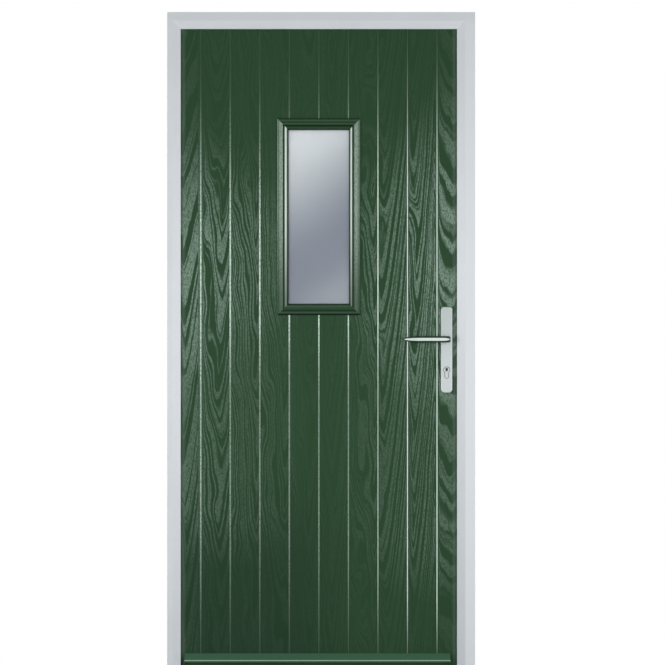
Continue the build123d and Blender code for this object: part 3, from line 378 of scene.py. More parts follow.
class Surface(Graph):
    """Node tree of a new material, with its shader and its point in Object coordinates."""

    def __init__(self, name: str, values: dict[str, Any]) -> None:
        """Make the material.

        Args:
            name: the material's name.
            values: the plain values of its Principled shader.
        """
        self.material = bpy.data.materials.new(name)
        super().__init__(blank(self.material).tree)
        self.shader = self.add("ShaderNodeBsdfPrincipled", values)
        self.add("ShaderNodeOutputMaterial", {"Surface": self.shader.outputs[0]})
        self.point = self.place()

    def set(self, name: str, value: Any) -> None:
        """Set or link one input of the shader."""
        self.put(self.shader.inputs[name], value)

    def colour(self) -> Socket:
        """The colour that the shader has so far."""
        return self.shader.inputs["Base Color"].links[0].from_socket

    def bump(self, relief: Span, height: Socket) -> None:
        """Raise the surface by a height pattern of some strength and full depth."""
        values = {"Strength": relief[0], "Distance": relief[1], "Height": height}
        self.set("Normal", self.add("ShaderNodeBump", values).outputs[0])

    def group(self, tree: bpy.types.ShaderNodeTree, values: dict[str, Any]) -> Any:
        """Outputs of a shared group that is placed with its own values."""
        return self.add("ShaderNodeGroup", values, node_tree=tree).outputs


@dataclass(frozen=True)
class Finish:
    """A surface finish: its slot in the record, its plain values and how uneven it is.

    The relief is the strength of the bump and its full depth in metres.
    """

    slot: str
    colour: Colour
    roughness: float = 0.5
    metallic: float = 0.0
    specular: float = 0.5
    relief: Span = (0.08, 0.0004)
    cloud_span: Span = (0.3, 0.7)
    cloud_rough: Span = (0.965, 1.035)
    cloud_tones: Span = (0.93, 1.05)

    def make(self) -> Material:
        """Make the material and paint it.

        Returns:
            The material.
        """
        values = {
            "Base Color": (*self.colour, 1.0),
            "Roughness": self.roughness,
            "Metallic": self.metallic,
            "Specular IOR Level": self.specular,
        }
        skin = Surface(self.slot + "_finish", values)
        self.paint(skin)
        return skin.material

    def clouded(self, skin: Surface, cloud: Socket) -> Socket:
        """The finish's colour between its two cloud tones."""
        dark, pale_painted_light = (scaled(self.colour, share) for share in self.cloud_tones)
        return skin.mix(cloud, dark, pale_painted_light)

    def paint(self, skin: Surface) -> None:
        """Moulded or extruded finish with slow unevenness and fine specks.

        Args:
            skin: the surface to paint.
        """
        uneven = skin.group(GROUPS.variation(), {"Vector": skin.point})
        share = skin.ramp(uneven["Cloud"], *self.cloud_span, *self.cloud_rough)
        skin.set("Base Color", self.clouded(skin, uneven["Cloud"]))
        skin.set("Roughness", skin.product(share, self.roughness))
        skin.bump(self.relief, uneven["Speck"])


@dataclass(frozen=True)
class FrameWhite(Finish):
    """White frame, with painted light on the lock jamb's face and painted shade on its inner bevel."""

    # Painted light on the lock jamb's face and painted shade on its inner bevel, growing towards the foot.
    face: Colour = tone(213, 218, 222)
    bevel: Colour = tone(197, 202, 206)
    bevel_span: Span = (0.38, 0.4325)
    bevel_soft: float = 0.0012
    bevel_fade: Span = (1.2, 0.8)
    head_fade: Span = (1.985, 1.955)
    front: Span = (0.02, -0.03)

    def paint(self, skin: Surface) -> None:
        """Moulded white with painted light on the lock jamb's face and painted shade on its inner bevel.

        Args:
            skin: the surface to paint.
        """
        super().paint(skin)
        white = skin.colour()
        x, y, z = skin.axes(skin.point)
        soft = self.bevel_soft
        inner, outer = (skin.ramp(x, edge - soft, edge + soft) for edge in self.bevel_span)
        front = skin.ramp(y, *self.front)
        # Painted shade on the inner bevel and painted light on the face of the lock jamb, on its front
        # only.
        shaded = skin.product(inner, skin.ramp(z, *self.bevel_fade), front)
        lit = skin.product(outer, skin.ramp(z, *self.head_fade), front)
        colour = skin.mix(lit, skin.mix(shaded, white, self.bevel), self.face)
        skin.set("Base Color", colour)


@dataclass(frozen=True)
class BoardedSkin(Finish):
    """Moulded skin with an embossed grain whose light bands are a painted sheen, strongest on the outer
    boards.

    Fades are pairs of heights or of places across the leaf, in metres.
    """

    relief: Span = (0.35, 0.0005)
    # Boards and the grain on them; the grain's light tone is a painted sheen.
    centre: float = -0.007
    pitch: float = 0.0888
    half_width: float = 0.37
    bands: float = 15.0
    edge_bands_share: float = 0.85
    edge_arch_share: float = 0.3
    hinge_arch_share: float = 0.5
    pale_painted_light: Colour = tone(124, 147, 131)
    pore_span: Span = (0.34, 0.62)
    pore_least: float = 0.3
    band_rough: float = 0.16
    band_height: float = 0.7
    pore_height: float = 0.6
    # Where the painted sheen on the grain fades.
    top_fade: Span = (1.85, 1.35)
    foot_fade: Span = (0.6, 1.2)
    fade_depth: float = 0.9
    least: float = 0.05
    plinth_fade: Span = (0.25, 0.55)
    plinth_share: float = 0.42
    hinge_side: Span = (-0.05, -0.3)
    hinge_side_drop: float = 0.1
    lock_side: Span = (0.05, 0.2)
    lock_side_lift: float = 0.1
    # Painted shade at the foot on the hinge side and a painted light rim beside the frame.
    shade: Colour = tone(32, 58, 38)
    shade_fade: Span = (0.75, 0.25)
    shade_side: Span = (0.15, -0.1)
    rim: Span = (0.397, 0.411)
    rim_share: float = 0.24
    # Painted highlights in the grooves between the boards and painted shadows on the lips beside them.
    groove_highlight: Colour = tone(210, 230, 216)
    dim_groove_highlight: Colour = tone(104, 136, 110)
    least_groove: float = 0.14
    groove_half: Span = (0.0028, 0.0018)
    groove_core: float = 0.72
    lip_shadow: Colour = tone(20, 38, 24)
    lip_half: float = 0.0046
    lip_share: float = 0.6
    # How the grooves' painted highlight changes across the leaf and with height.
    groove_side: Span = (-0.2, 0.35)
    groove_top: Span = (1.88, 2.02)
    groove_top_run: float = 0.6
    groove_foot: float = -0.05
    groove_foot_run: Span = (0.63, 0.33)
    groove_waist: Span = (1.12, 0.84)
    waist_side: Span = (0.27, 0.1)
    waist_edge: Span = (-0.39, -0.24)
    waist_edge_share: float = 0.5
    waist_dip: float = 0.5
    break_span: Span = (0.36, 0.56)
    break_least: Span = (0.55, 0.95)
    break_most: float = 1.05

    def sheen_share(self, skin: Surface, x: Socket, z: Socket) -> Socket:
        """How strong the painted sheen on the grain is: most on the outer boards at middle height.

        Args:
            skin: the surface.
            x, z: the place across the leaf and its height.

        Returns:
            The socket of the share.
        """
        side = skin.math("MINIMUM", skin.math("DIVIDE", skin.away(x, self.centre), self.half_width), 1.0)
        lifted = skin.math("ADD", z, skin.ramp(x, *self.lock_side, 0.0, self.lock_side_lift))
        dropped = skin.math("ADD", z, skin.ramp(x, *self.hinge_side, 0.0, self.hinge_side_drop))
        top = skin.ramp(dropped, *self.top_fade)
        middle = skin.product(top, skin.ramp(lifted, *self.foot_fade))
        loss = skin.product(skin.minus(1.0, middle), self.fade_depth)
        plinth = skin.product(skin.ramp(lifted, *self.plinth_fade, 0.0, self.plinth_share), top)
        share = skin.math("MAXIMUM", skin.minus(side, loss), skin.product(side, plinth))
        return skin.add("ShaderNodeClamp", {"Value": share, "Min": self.least}).outputs[0]

    def shine(self, skin: Surface, x: Socket, z: Socket, pores: Socket) -> Socket:
        """How strong the painted highlight in the grooves is: most at middle height and on the lock side.

        Args:
            skin: the surface.
            x, z: the place across the leaf and its height.
            pores: the pattern that breaks the grooves' light.

        Returns:
            The socket of the share.
        """
        waist = skin.product(skin.ramp(z, *self.groove_waist), skin.ramp(x, *self.waist_side))
        waist = skin.product(waist, skin.ramp(x, *self.waist_edge, self.waist_edge_share, 1.0))
        even = skin.minus(1.0, skin.product(waist, self.waist_dip))
        top = skin.ramp(x, *self.groove_side, *self.groove_top)
        below = skin.math("DIVIDE", skin.minus(top, z), self.groove_top_run)
        foot_run = skin.ramp(x, *self.groove_side, *self.groove_foot_run)
        above = skin.math("DIVIDE", skin.minus(z, self.groove_foot), foot_run)
        ends = skin.product(skin.ramp(below, 0.0, 1.0), skin.ramp(above, 0.0, 1.0))
        broken = skin.ramp(x, *self.groove_side, *self.break_least)
        return skin.product(even, ends, skin.ramp(pores, *self.break_span, broken, self.break_most))

    def grooved(self, skin: Surface, x: Socket, shine: Socket, colour: Socket) -> Socket:
        """Draw the painted highlights of the grooves and the painted shadows of their lips over the
        boards' colour.

        Args:
            skin: the surface.
            x: the place across the leaf.
            shine: how strong the grooves' painted highlight is.
            colour: the boards' colour.

        Returns:
            The socket of the colour with grooves.
        """
        turns = skin.math("DIVIDE", skin.minus(x, self.centre), self.pitch)
        past = skin.math("FRACT", skin.math("ADD", turns, 0.5))
        gap = skin.product(skin.away(past, 0.5), self.pitch)
        # Painted shadow on the lips beside each of the grooves.
        lip_shadow = skin.ramp(gap, self.lip_half, self.lip_half * self.groove_core, 0.0, self.lip_share)
        colour = skin.mix(skin.product(lip_shadow, shine), colour, self.lip_shadow)
        # Painted highlight in each of the grooves.
        half = skin.ramp(x, *self.groove_side, *self.groove_half)
        line = skin.ramp(skin.math("DIVIDE", gap, half), 1.0, self.groove_core)
        shown = skin.math("MULTIPLY_ADD", shine, 1.0 - self.least_groove, self.least_groove)
        groove_highlight = skin.mix(shine, self.dim_groove_highlight, self.groove_highlight)
        return skin.mix(skin.product(line, shown), colour, groove_highlight)

    def paint(self, skin: Surface) -> None:
        """Green with arched grain bands painted light as a sheen, pores, painted shade at the hinge-side
        foot, a painted light rim and painted highlights in the grooves.

        Args:
            skin: the surface to paint.
        """
        values = {
            "Vector": skin.point,
            "Centre": self.centre,
            "Pitch": self.pitch,
            "Bands": self.bands,
            "Edge Bands": self.edge_bands_share,
            "Edge Arch": self.edge_arch_share,
            "Hinge Arch": self.hinge_arch_share,
        }
        grain = skin.group(GROUPS.grain(), values)
        band, pores = grain["Band"], grain["Pores"]
        x, _, z = skin.axes(skin.point)
        speckle = skin.ramp(pores, *self.pore_span, self.pore_least, 1.0)
        # The grain's light bands are a painted sheen.
        cover = skin.product(band, self.sheen_share(skin, x, z), speckle)
        # Painted shade at the hinge-side foot.
        low = skin.product(skin.ramp(z, *self.shade_fade), skin.ramp(x, *self.shade_side))
        colour = skin.mix(cover, skin.mix(low, self.colour, self.shade), self.pale_painted_light)
        # Painted light on the rim beside the frame.
        rim = skin.ramp(skin.away(x, self.centre), *self.rim, 0.0, self.rim_share)
        colour = skin.mix(rim, colour, self.pale_painted_light)
        colour = self.grooved(skin, x, self.shine(skin, x, z, pores), colour)
        rough = skin.math("MULTIPLY_ADD", band, self.band_rough, self.roughness)
        height = skin.math("MULTIPLY_ADD", pores, self.pore_height, skin.product(band, self.band_height))
        skin.set("Base Color", colour)
        skin.set("Roughness", rough)
        skin.bump(self.relief, height)


class Member(Enum):
    """The member of the glazed light's surround that a line runs along."""

    HINGE_SIDE = "hinge side"
    LOCK_SIDE = "lock side"
    HEAD = "head"
    FOOT = "foot"


@dataclass(frozen=True)
class SurroundLine:
    """A painted line of light or shade along one member, between two distances from the sight edge."""

    member: Member
    low: float
    high: float
    colour: Colour
    cover: float


@dataclass(frozen=True)
class MouldedSurround(Finish):
    """Moulded surround with painted highlights and painted shadows along its members, brightest on the
    uprights.
    """

    relief: Span = (0.12, 0.0003)
    # Painted light and shade of the moulding: its sheen, the highlight on the beads, lit lines and shadows
    # in the quirks.
    sheen: Colour = tone(156, 176, 161)
    bead_highlight: Colour = tone(226, 245, 232)
    lit: Colour = tone(66, 94, 71)
    painted_shadow: Colour = tone(10, 24, 13)
    centre: Span = (-0.007, 1.386)
    half_sight: Span = (0.0905, 0.2605)
    soft: float = 0.0008
    mitre: float = 0.0006
    fade: Span = (1.09, 1.42)
    fade_least: float = 0.2
    grit: Triple = (900.0, 900.0, 160.0)
    grit_span: Span = (0.3, 0.62)
    grit_least: float = 0.3

    def lines(self) -> list[SurroundLine]:
        """List the painted highlights on arrises and beads and the painted shadows in the quirks and along
        the outer edge of each member.

        Returns:
            The lines in the order they are drawn.
        """
        rows = {
            Member.HINGE_SIDE: (
                (0.0180, 0.0292, self.sheen, 0.95),
                (0.0292, 0.0318, self.sheen, 0.5),
                (0.0318, 0.0350, self.sheen, 0.85),
                (0.0138, 0.0172, self.painted_shadow, 0.5),
                (0.0020, 0.0062, self.sheen, 0.3),
                (0.0062, 0.0124, self.bead_highlight, 0.88),
            ),
            Member.LOCK_SIDE: (
                (0.0150, 0.0262, self.sheen, 0.95),
                (0.0262, 0.0300, self.sheen, 0.65),
                (0.0300, 0.0335, self.sheen, 0.4),
                (0.0104, 0.0142, self.painted_shadow, 0.45),
                (0.0036, 0.0092, self.bead_highlight, 0.84),
            ),
            Member.HEAD: (
                (0.0265, 0.0318, self.lit, 0.8),
                (0.0176, 0.0205, self.lit, 0.7),
                (0.0113, 0.0158, self.painted_shadow, 0.85),
            ),
            Member.FOOT: (
                (0.0045, 0.0135, self.lit, 0.5),
                (0.0194, 0.0230, self.painted_shadow, 0.8),
                (0.0256, 0.0290, self.lit, 0.5),
                (0.0305, 0.0360, self.painted_shadow, 0.95),
            ),
        }
        return [SurroundLine(member, *row) for member, group in rows.items() for row in group]

    def paint(self, skin: Surface) -> None:
        """Plain green with the painted highlight and shadow lines of each member, the painted sheen broken
        by grit.

        Args:
            skin: the surface to paint.
        """
        x, _, z = skin.axes(skin.point)
        past_x, past_z = (
            skin.minus(skin.away(value, middle), half)
            for value, middle, half in zip((x, z), self.centre, self.half_sight)
        )
        depth = skin.math("MAXIMUM", past_x, past_z)
        upright = skin.ramp(skin.minus(past_x, past_z), -self.mitre, self.mitre)
        level = skin.minus(1.0, upright)
        lock_side = skin.product(upright, skin.math("GREATER_THAN", x, self.centre[0]))
        head = skin.product(level, skin.math("GREATER_THAN", z, self.centre[1]))
        masks = {
            Member.HINGE_SIDE: skin.minus(upright, lock_side),
            Member.LOCK_SIDE: lock_side,
            Member.HEAD: head,
            Member.FOOT: skin.minus(level, head),
        }
        grit = skin.noise(skin.stretch(skin.point, self.grit))
        # The painted highlights fade towards the foot of the glazed light.
        bright = skin.ramp(z, *self.fade, self.fade_least, 1.0)
        speckle = skin.product(skin.ramp(grit, *self.grit_span, self.grit_least, 1.0), bright)
        lights = {self.sheen: speckle, self.bead_highlight: bright}
        colour: Any = self.colour
        for line in self.lines():
            shown = skin.between(depth, line.low, line.high, self.soft)
            cover = skin.product(shown, masks[line.member], line.cover)
            if line.colour in lights:
                cover = skin.product(cover, lights[line.colour])
            colour = skin.mix(cover, colour, line.colour)
        skin.set("Base Color", colour)
        skin.bump(self.relief, grit)


@dataclass(frozen=True)
class NosedBar(Finish):
    """Moulded bar with a painted highlight along the edge of its nose and painted shade below it."""

    cloud_tones: Span = (0.9, 1.0)
    # The painted highlight along the nose edge and the painted shade below it.
    edge: Colour = tone(172, 196, 176)
    edge_span: Span = (0.0536, 0.0554)
    edge_soft: float = 0.0004
    under_shade: Colour = tone(57, 89, 61)
    under_soft: float = 0.0008

    def paint(self, skin: Surface) -> None:
        """Green slope, a painted highlight along the nose edge and painted shade below it.

        Args:
            skin: the surface to paint.
        """
        uneven = skin.group(GROUPS.variation(), {"Vector": skin.point})
        _, _, z = skin.axes(skin.point)
        low, high = self.edge_span
        line = skin.between(z, low, high, self.edge_soft)
        below = skin.ramp(z, low, low - self.under_soft)
        body = skin.mix(below, self.clouded(skin, uneven["Cloud"]), self.under_shade)
        skin.set("Base Color", skin.mix(line, body, self.edge))
        skin.bump(self.relief, uneven["Speck"])


@dataclass(frozen=True)
class BrushedMetal(Finish):
    """Metal with fine lines along one direction."""

    relief: Span = (0.06, 0.0002)
    cloud_tones: Span = (0.86, 1.0)
    specks: float = 1400.0
    stretch: Triple = (900.0, 900.0, 30.0)
    lines: float = 0.12

    def paint(self, skin: Surface) -> None:
        """Satin metal whose roughness and tone follow its lines.

        Args:
            skin: the surface to paint.
        """
        brushed = skin.group(GROUPS.brushed(), {"Vector": skin.point, "Stretch": self.stretch})
        uneven = skin.group(GROUPS.variation(), {"Vector": skin.point, "Specks": self.specks})
        lines = brushed["Lines"]
        rough = skin.math("MULTIPLY_ADD", lines, self.lines * 2.0, self.roughness - self.lines)
        skin.set("Base Color", self.clouded(skin, uneven["Cloud"]))
        skin.set("Roughness", rough)
        skin.bump(self.relief, lines)


@dataclass(frozen=True)
class HandleMetal(BrushedMetal):
    """Satin handle metal, with a painted dark reflection on the lever's rounded flanks and a painted
    shadow round the cylinder.
    """

    low: Colour = tone(166, 172, 173)
    low_fade: Span = (1.12, 0.9)
    # The lever painted paler as its lit face, and the dark tone of the painted reflection on its flanks
    # and the painted shadow round the cylinder.
    lever: Colour = tone(176, 189, 182)
    painted_dark: Colour = tone(34, 44, 38)
    spindle_z: float = 1.018
    flat_half: float = 0.0043
    flat_soft: Span = (0.92, 1.05)
    nose_x: float = 0.296
    nose: float = 0.047
    heel_x: float = 0.364
    heel: float = 0.0205
    lever_depth: float = 0.055
    # Where the painted shadow round the cylinder's pear-shaped hole lies.
    cylinder: Span = (0.377, 0.926)
    cylinder_radius: float = 0.0085
    leg_half: float = 0.005
    leg_drop: float = 0.0195
    rim: float = 0.0022
    rim_share: float = 0.85

    def length(self, skin: Surface, first: Socket, second: Socket) -> Socket:
        """Length of a flat vector."""
        squares = skin.math("MULTIPLY_ADD", first, first, skin.product(second, second))
        return skin.math("SQRT", squares)

    def lever_edge(self, skin: Surface, x: Socket, z: Socket) -> Socket:
        """Mask past the rounded outline of the lever's flat face, on the flanks where a dark reflection is
        painted.

        Args:
            skin: the surface.
            x, z: the place across the leaf and its height.

        Returns:
            The socket of the mask.
        """
        up = skin.math("DIVIDE", skin.minus(z, self.spindle_z), self.flat_half)
        nose = skin.math("DIVIDE", skin.minus(self.nose_x, x), self.nose)
        heel = skin.math("DIVIDE", skin.minus(x, self.heel_x), self.heel)
        along = skin.math("MAXIMUM", skin.math("MAXIMUM", nose, heel), 0.0)
        return skin.ramp(self.length(skin, up, along), *self.flat_soft)

    def cylinder_rim(self, skin: Surface, x: Socket, z: Socket) -> Socket:
        """Mask of a narrow rim round the pear-shaped hole of the cylinder, where a shadow is painted.

        Args:
            skin: the surface.
            x, z: the place across the leaf and its height.

        Returns:
            The socket of the mask.
        """
        off_x = skin.minus(x, self.cylinder[0])
        off_z = skin.minus(z, self.cylinder[1])
        bow = skin.minus(self.length(skin, off_x, off_z), self.cylinder_radius)
        up = skin.math("MAXIMUM", skin.math("MINIMUM", off_z, 0.0), -self.leg_drop)
        leg = self.length(skin, off_x, skin.minus(off_z, up))
        gap = skin.math("MINIMUM", bow, skin.minus(leg, self.leg_half))
        return skin.ramp(gap, self.rim, self.rim / 2.0, 0.0, self.rim_share)

    def paint(self, skin: Surface) -> None:
        """Brushed metal, paler towards the foot of the plate, with the lever painted paler as its lit
        face, a painted dark reflection on its flanks and a painted shadow round the cylinder.

        Args:
            skin: the surface to paint.
        """
        super().paint(skin)
        metal = skin.colour()
        x, y, z = skin.axes(skin.point)
        proud = skin.math("GREATER_THAN", skin.math("ABSOLUTE", y), self.lever_depth)
        colour = skin.mix(skin.ramp(z, *self.low_fade), metal, self.low)
        colour = skin.mix(proud, colour, self.lever)
        # Painted dark reflection on the lever's flanks, then painted shadow round the cylinder.
        colour = skin.mix(skin.product(self.lever_edge(skin, x, z), proud), colour, self.painted_dark)
        colour = skin.mix(self.cylinder_rim(skin, x, z), colour, self.painted_dark)
        skin.set("Base Color", colour)


@dataclass(frozen=True)
class CylinderMetal(BrushedMetal):
    """Plated cylinder metal with a painted shadow in the keyway of its outer face."""

    keyhole_shadow: Colour = tone(16, 17, 18)
    centre: Span = (0.377, 0.9272)
    keyway: Span = (0.0034, 0.0044)
    key_soft: Span = (1.15, 0.85)
    face: float = -0.03

    def paint(self, skin: Surface) -> None:
        """Brushed metal with a painted shadow in the keyway.

        Args:
            skin: the surface to paint.
        """
        super().paint(skin)
        metal = skin.colour()
        x, y, z = skin.axes(skin.point)
        masks = [
            skin.ramp(skin.away(value, middle), *(half * share for share in self.key_soft))
            for value, middle, half in zip((x, z), self.centre, self.keyway)
        ]
        # Painted shadow in the keyway, on the outer face only.
        hole = skin.product(*masks, skin.math("LESS_THAN", y, self.face))
        skin.set("Base Color", skin.mix(hole, metal, self.keyhole_shadow))


@dataclass(frozen=True)
class SatinGlass(Finish):
    """Etched glass with a painted reflection of a soft sky, light at the top and greyer lower down, its
    fades in shares of its height.
    """

    relief: Span = (0.05, 0.0002)
    # Tones of the painted sky reflection, from the top to the foot of the pane.
    pale_painted_light: Colour = tone(246, 248, 251)
    grey_reflection: Colour = tone(152, 158, 172)
    foot: Colour = tone(180, 186, 194)
    low: float = 1.1255
    high: float = 1.6465
    slant: float = -0.62
    upper_fade: Span = (0.31, 1.14)
    lower_fade: Span = (0.22, -0.06)
    cloud_scale: float = 5.0
    cloud_share: float = 0.06
    etch_scale: float = 2600.0
    transmission: float = 0.8

    def fade(self, skin: Surface, value: Socket, shares: Span) -> Socket:
        """Smooth step between two shares of the pane's height."""
        limits = (self.low + (self.high - self.low) * share for share in shares)
        return skin.ramp(value, *limits)

    def paint(self, skin: Surface) -> None:
        """Frosted pane with a slanting painted sky reflection and a fine etch.

        Args:
            skin: the surface to paint.
        """
        x, _, z = skin.axes(skin.point)
        cloud = skin.minus(skin.noise(skin.point, self.cloud_scale), 0.5)
        level = skin.math("MULTIPLY_ADD", x, self.slant, z)
        level = skin.math("ADD", level, skin.product(cloud, self.cloud_share))
        colour = skin.mix(self.fade(skin, level, self.upper_fade), self.grey_reflection, self.pale_painted_light)
        colour = skin.mix(self.fade(skin, level, self.lower_fade), colour, self.foot)
        skin.set("Base Color", colour)
        skin.set("Transmission Weight", self.transmission)
        skin.bump(self.relief, skin.noise(skin.point, self.etch_scale))


@dataclass(frozen=True)
class ClearGlass(Finish):
    """Clear pane with a faint roll of float glass."""

    relief: Span = (0.02, 0.001)
    roll_scale: float = 9.0
    transmission: float = 0.9

    def paint(self, skin: Surface) -> None:
        """Clear glass with a very slow wave.

        Args:
            skin: the surface to paint.
        """
        skin.set("Transmission Weight", self.transmission)
        skin.bump(self.relief, skin.noise(skin.point, self.roll_scale, 1.0))


@dataclass(frozen=True)
class Timber(Finish):
    """Planed engineered timber, long grain up the stile."""

    relief: Span = (0.2, 0.0004)
    dark: Colour = tone(142, 104, 66)
    streaks: Triple = (180.0, 180.0, 5.0)
    streak_detail: float = 4.0
    streak_break: float = 0.6
    streak_rough: float = 0.2

    def paint(self, skin: Surface) -> None:
        """Straight grain with glue-laid strips.

        Args:
            skin: the surface to paint.
        """
        long = skin.stretch(skin.point, self.streaks)
        streaks = skin.noise(long, detail=self.streak_detail, rough=self.streak_break)
        rough = skin.math("MULTIPLY_ADD", streaks, self.streak_rough, self.roughness)
        skin.set("Base Color", skin.mix(streaks, self.dark, self.colour))
        skin.set("Roughness", rough)
        skin.bump(self.relief, streaks)


@dataclass(frozen=True)
class CellFoam(Finish):
    """Rigid foam with small open cells."""

    relief: Span = (0.5, 0.0006)
    cell_scale: float = 900.0
    pit_share: float = 0.6
    cell_rough: float = 0.1

    def paint(self, skin: Surface) -> None:
        """Cellular colour and pits.

        Args:
            skin: the surface to paint.
        """
        cells = skin.add("ShaderNodeTexVoronoi", {"Vector": skin.point, "Scale": self.cell_scale})
        depth = cells.outputs["Distance"]
        rough = skin.math("MULTIPLY_ADD", depth, self.cell_rough, self.roughness)
        pit = scaled(self.colour, self.pit_share)
        skin.set("Base Color", skin.mix(depth, self.colour, pit))
        skin.set("Roughness", rough)
        skin.bump(self.relief, depth)


# Each row gives the slot, the colour, the roughness and, for metals, how metallic it is.
FINISHES: tuple[Finish, ...] = (
    FrameWhite("frame_white", tone(208, 213, 217), 0.38, specular=0.4),
    Finish("hinge_white", tone(214, 218, 221), 0.3),
    BrushedMetal("threshold_aluminium", tone(150, 153, 156), 0.5, 0.4, stretch=(8.0, 900.0, 900.0)),
    Finish("seal_rubber", tone(30, 31, 32), 0.7, specular=0.3),
    BoardedSkin("leaf_green", tone(37, 66, 42), 0.45, specular=0.08),
    MouldedSurround("cassette_green", tone(37, 66, 43), 0.4, specular=0.1),
    Timber("leaf_timber", tone(190, 152, 104), 0.55, specular=0.3),
    CellFoam("leaf_foam", tone(224, 204, 152), 0.85, specular=0.2),
    SatinGlass("satin_glass", tone(170, 176, 186), 0.42, specular=0.25),
    ClearGlass("clear_glass", tone(228, 236, 234), 0.03),
    BrushedMetal("spacer_bar", tone(170, 171, 173), 0.45, 1.0, stretch=(60.0, 60.0, 60.0)),
    Finish("packer_plastic", tone(58, 112, 176)),
    BrushedMetal("zinc_steel", tone(184, 187, 190), 0.38, 1.0, stretch=(300.0, 300.0, 300.0)),
    BrushedMetal("lock_steel", tone(190, 191, 192), 0.32, 1.0),
    NosedBar("bar_green", tone(66, 106, 81), 0.4, specular=0.2),
    HandleMetal("handle_silver", tone(156, 164, 163), 0.4, 0.5, stretch=(700.0, 700.0, 40.0), lines=0.08),
    CylinderMetal(
        "cylinder_nickel", tone(168, 172, 170), 0.32, 0.7, stretch=(60.0, 900.0, 60.0), lines=0.06
    ),
)


class FinishShop:
    """Makes every finish and gives it to the solids of its slot."""

    def __init__(self, finishes: Iterable[Finish]) -> None:
        """Make the material of each finish, one for each slot of the record."""
        self.materials = {finish.slot: finish.make() for finish in finishes}

    def dress(self) -> None:
        """Give each solid the finish of its slot in the record."""
        for row in frame["record"]["subparts"]:
            solid = frame["nodes"][row["node"]]
            solid.data.materials.clear()
            solid.data.materials.append(self.materials[row["material_slot"]])
        LOG.info("dressed %d solids", len(frame["nodes"]))


def show(thing: bpy.types.Object) -> None:
    """Put an object into the scene."""
    bpy.context.scene.collection.objects.link(thing)


def plain_copy(source: bpy.types.Object, name: str) -> bpy.types.Object:
    """Turn an object's evaluated shape into a plain mesh object.

    Args:
        source: the object with its modifiers.
        name: the new object's name.

    Returns:
        A linked object at the origin with that mesh and no modifier.
    """
    graph = bpy.context.evaluated_depsgraph_get()
    mesh = bpy.data.meshes.new_from_object(source.evaluated_get(graph), depsgraph=graph)
    mesh.name = name
    piece = bpy.data.objects.new(name, mesh)
    show(piece)
    return piece


def settle(piece: bpy.types.Object, body: str) -> bpy.types.Object:
    """Let a finished piece ride on its body.

    Args:
        piece: the object, already in place.
        body: the body that carries it.

    Returns:
        The same object.
    """
    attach(piece, body)
    LOG.info("piece %s on %s: %d faces", piece.name, body, len(piece.data.polygons))
    return piece


@dataclass
class ScrewDriveShades:
    """Dark crosses just proud of the heads of one set of screws, that paint the shade in their cross
    recesses, made by a node tree.
    """

    name: str
    body: str
    faces: Side
    heads: list[Triple]
    arm: float = 0.0021
    width: float = 0.0007
    proud: float = 0.00006

    def tree(self, material: Material) -> bpy.types.GeometryNodeTree:
        """Tree that puts a cross of two bars on every point.

        Args:
            material: the dark finish that paints the shade in the recess.

        Returns:
            The geometry node tree.
        """
        tree = bpy.data.node_groups.new(self.name + "_tree", "GeometryNodeTree")
        tree.interface.new_socket("Geometry", in_out="INPUT", socket_type="NodeSocketGeometry")
        for label in ("Arm", "Width", "Proud"):
            tree.interface.new_socket(label, in_out="INPUT", socket_type="NodeSocketFloat")
        tree.interface.new_socket("Geometry", in_out="OUTPUT", socket_type="NodeSocketGeometry")
        graph = Graph(tree)
        given = graph.add("NodeGroupInput").outputs
        length = graph.product(given["Arm"], 2.0)
        depth = graph.product(given["Proud"], 2.0)
        cross = graph.add("GeometryNodeJoinGeometry")
        for first, second in ((length, given["Width"]), (given["Width"], length)):
            size = graph.add("ShaderNodeCombineXYZ", {0: first, 1: second, 2: depth})
            bar = graph.add("GeometryNodeMeshCube", {"Size": size.outputs[0]})
            graph.put(cross.inputs[0], bar.outputs["Mesh"])
        way = (0.0, self.faces.value, 0.0)
        turn = graph.add("FunctionNodeAlignRotationToVector", {"Vector": way}, axis="Z")
        points = {"Points": given["Geometry"], "Instance": cross.outputs[0], "Rotation": turn.outputs[0]}
        placed = graph.add("GeometryNodeInstanceOnPoints", points)
        real = graph.add("GeometryNodeRealizeInstances", {0: placed.outputs[0]})
        dressed = graph.add("GeometryNodeSetMaterial", {"Geometry": real.outputs[0], "Material": material})
        graph.add("NodeGroupOutput", {0: dressed.outputs[0]})
        return tree

    def build(self, material: Material, slot: str) -> bpy.types.Object:
        """Make the dark crosses of painted recess shade as one plain mesh that rides on its body.

        Args:
            material: the dark finish that paints the shade in the recess.
            slot: not used.

        Returns:
            The finished object.
        """
        points = bpy.data.meshes.new(self.name + "_points")
        points.from_pydata(self.heads, [], [])
        carrier = bpy.data.objects.new(self.name + "_points", points)
        show(carrier)
        tree = self.tree(material)
        modifier = carrier.modifiers.new("drive_shades", "NODES")
        modifier.node_group = tree
        sizes = {"Arm": self.arm, "Width": self.width, "Proud": self.proud}
        for item in tree.interface.items_tree:
            if item.in_out == "INPUT" and item.name in sizes:
                modifier[item.identifier] = sizes[item.name]
        piece = plain_copy(carrier, self.name)
        bpy.data.objects.remove(carrier)
        return settle(piece, self.body)


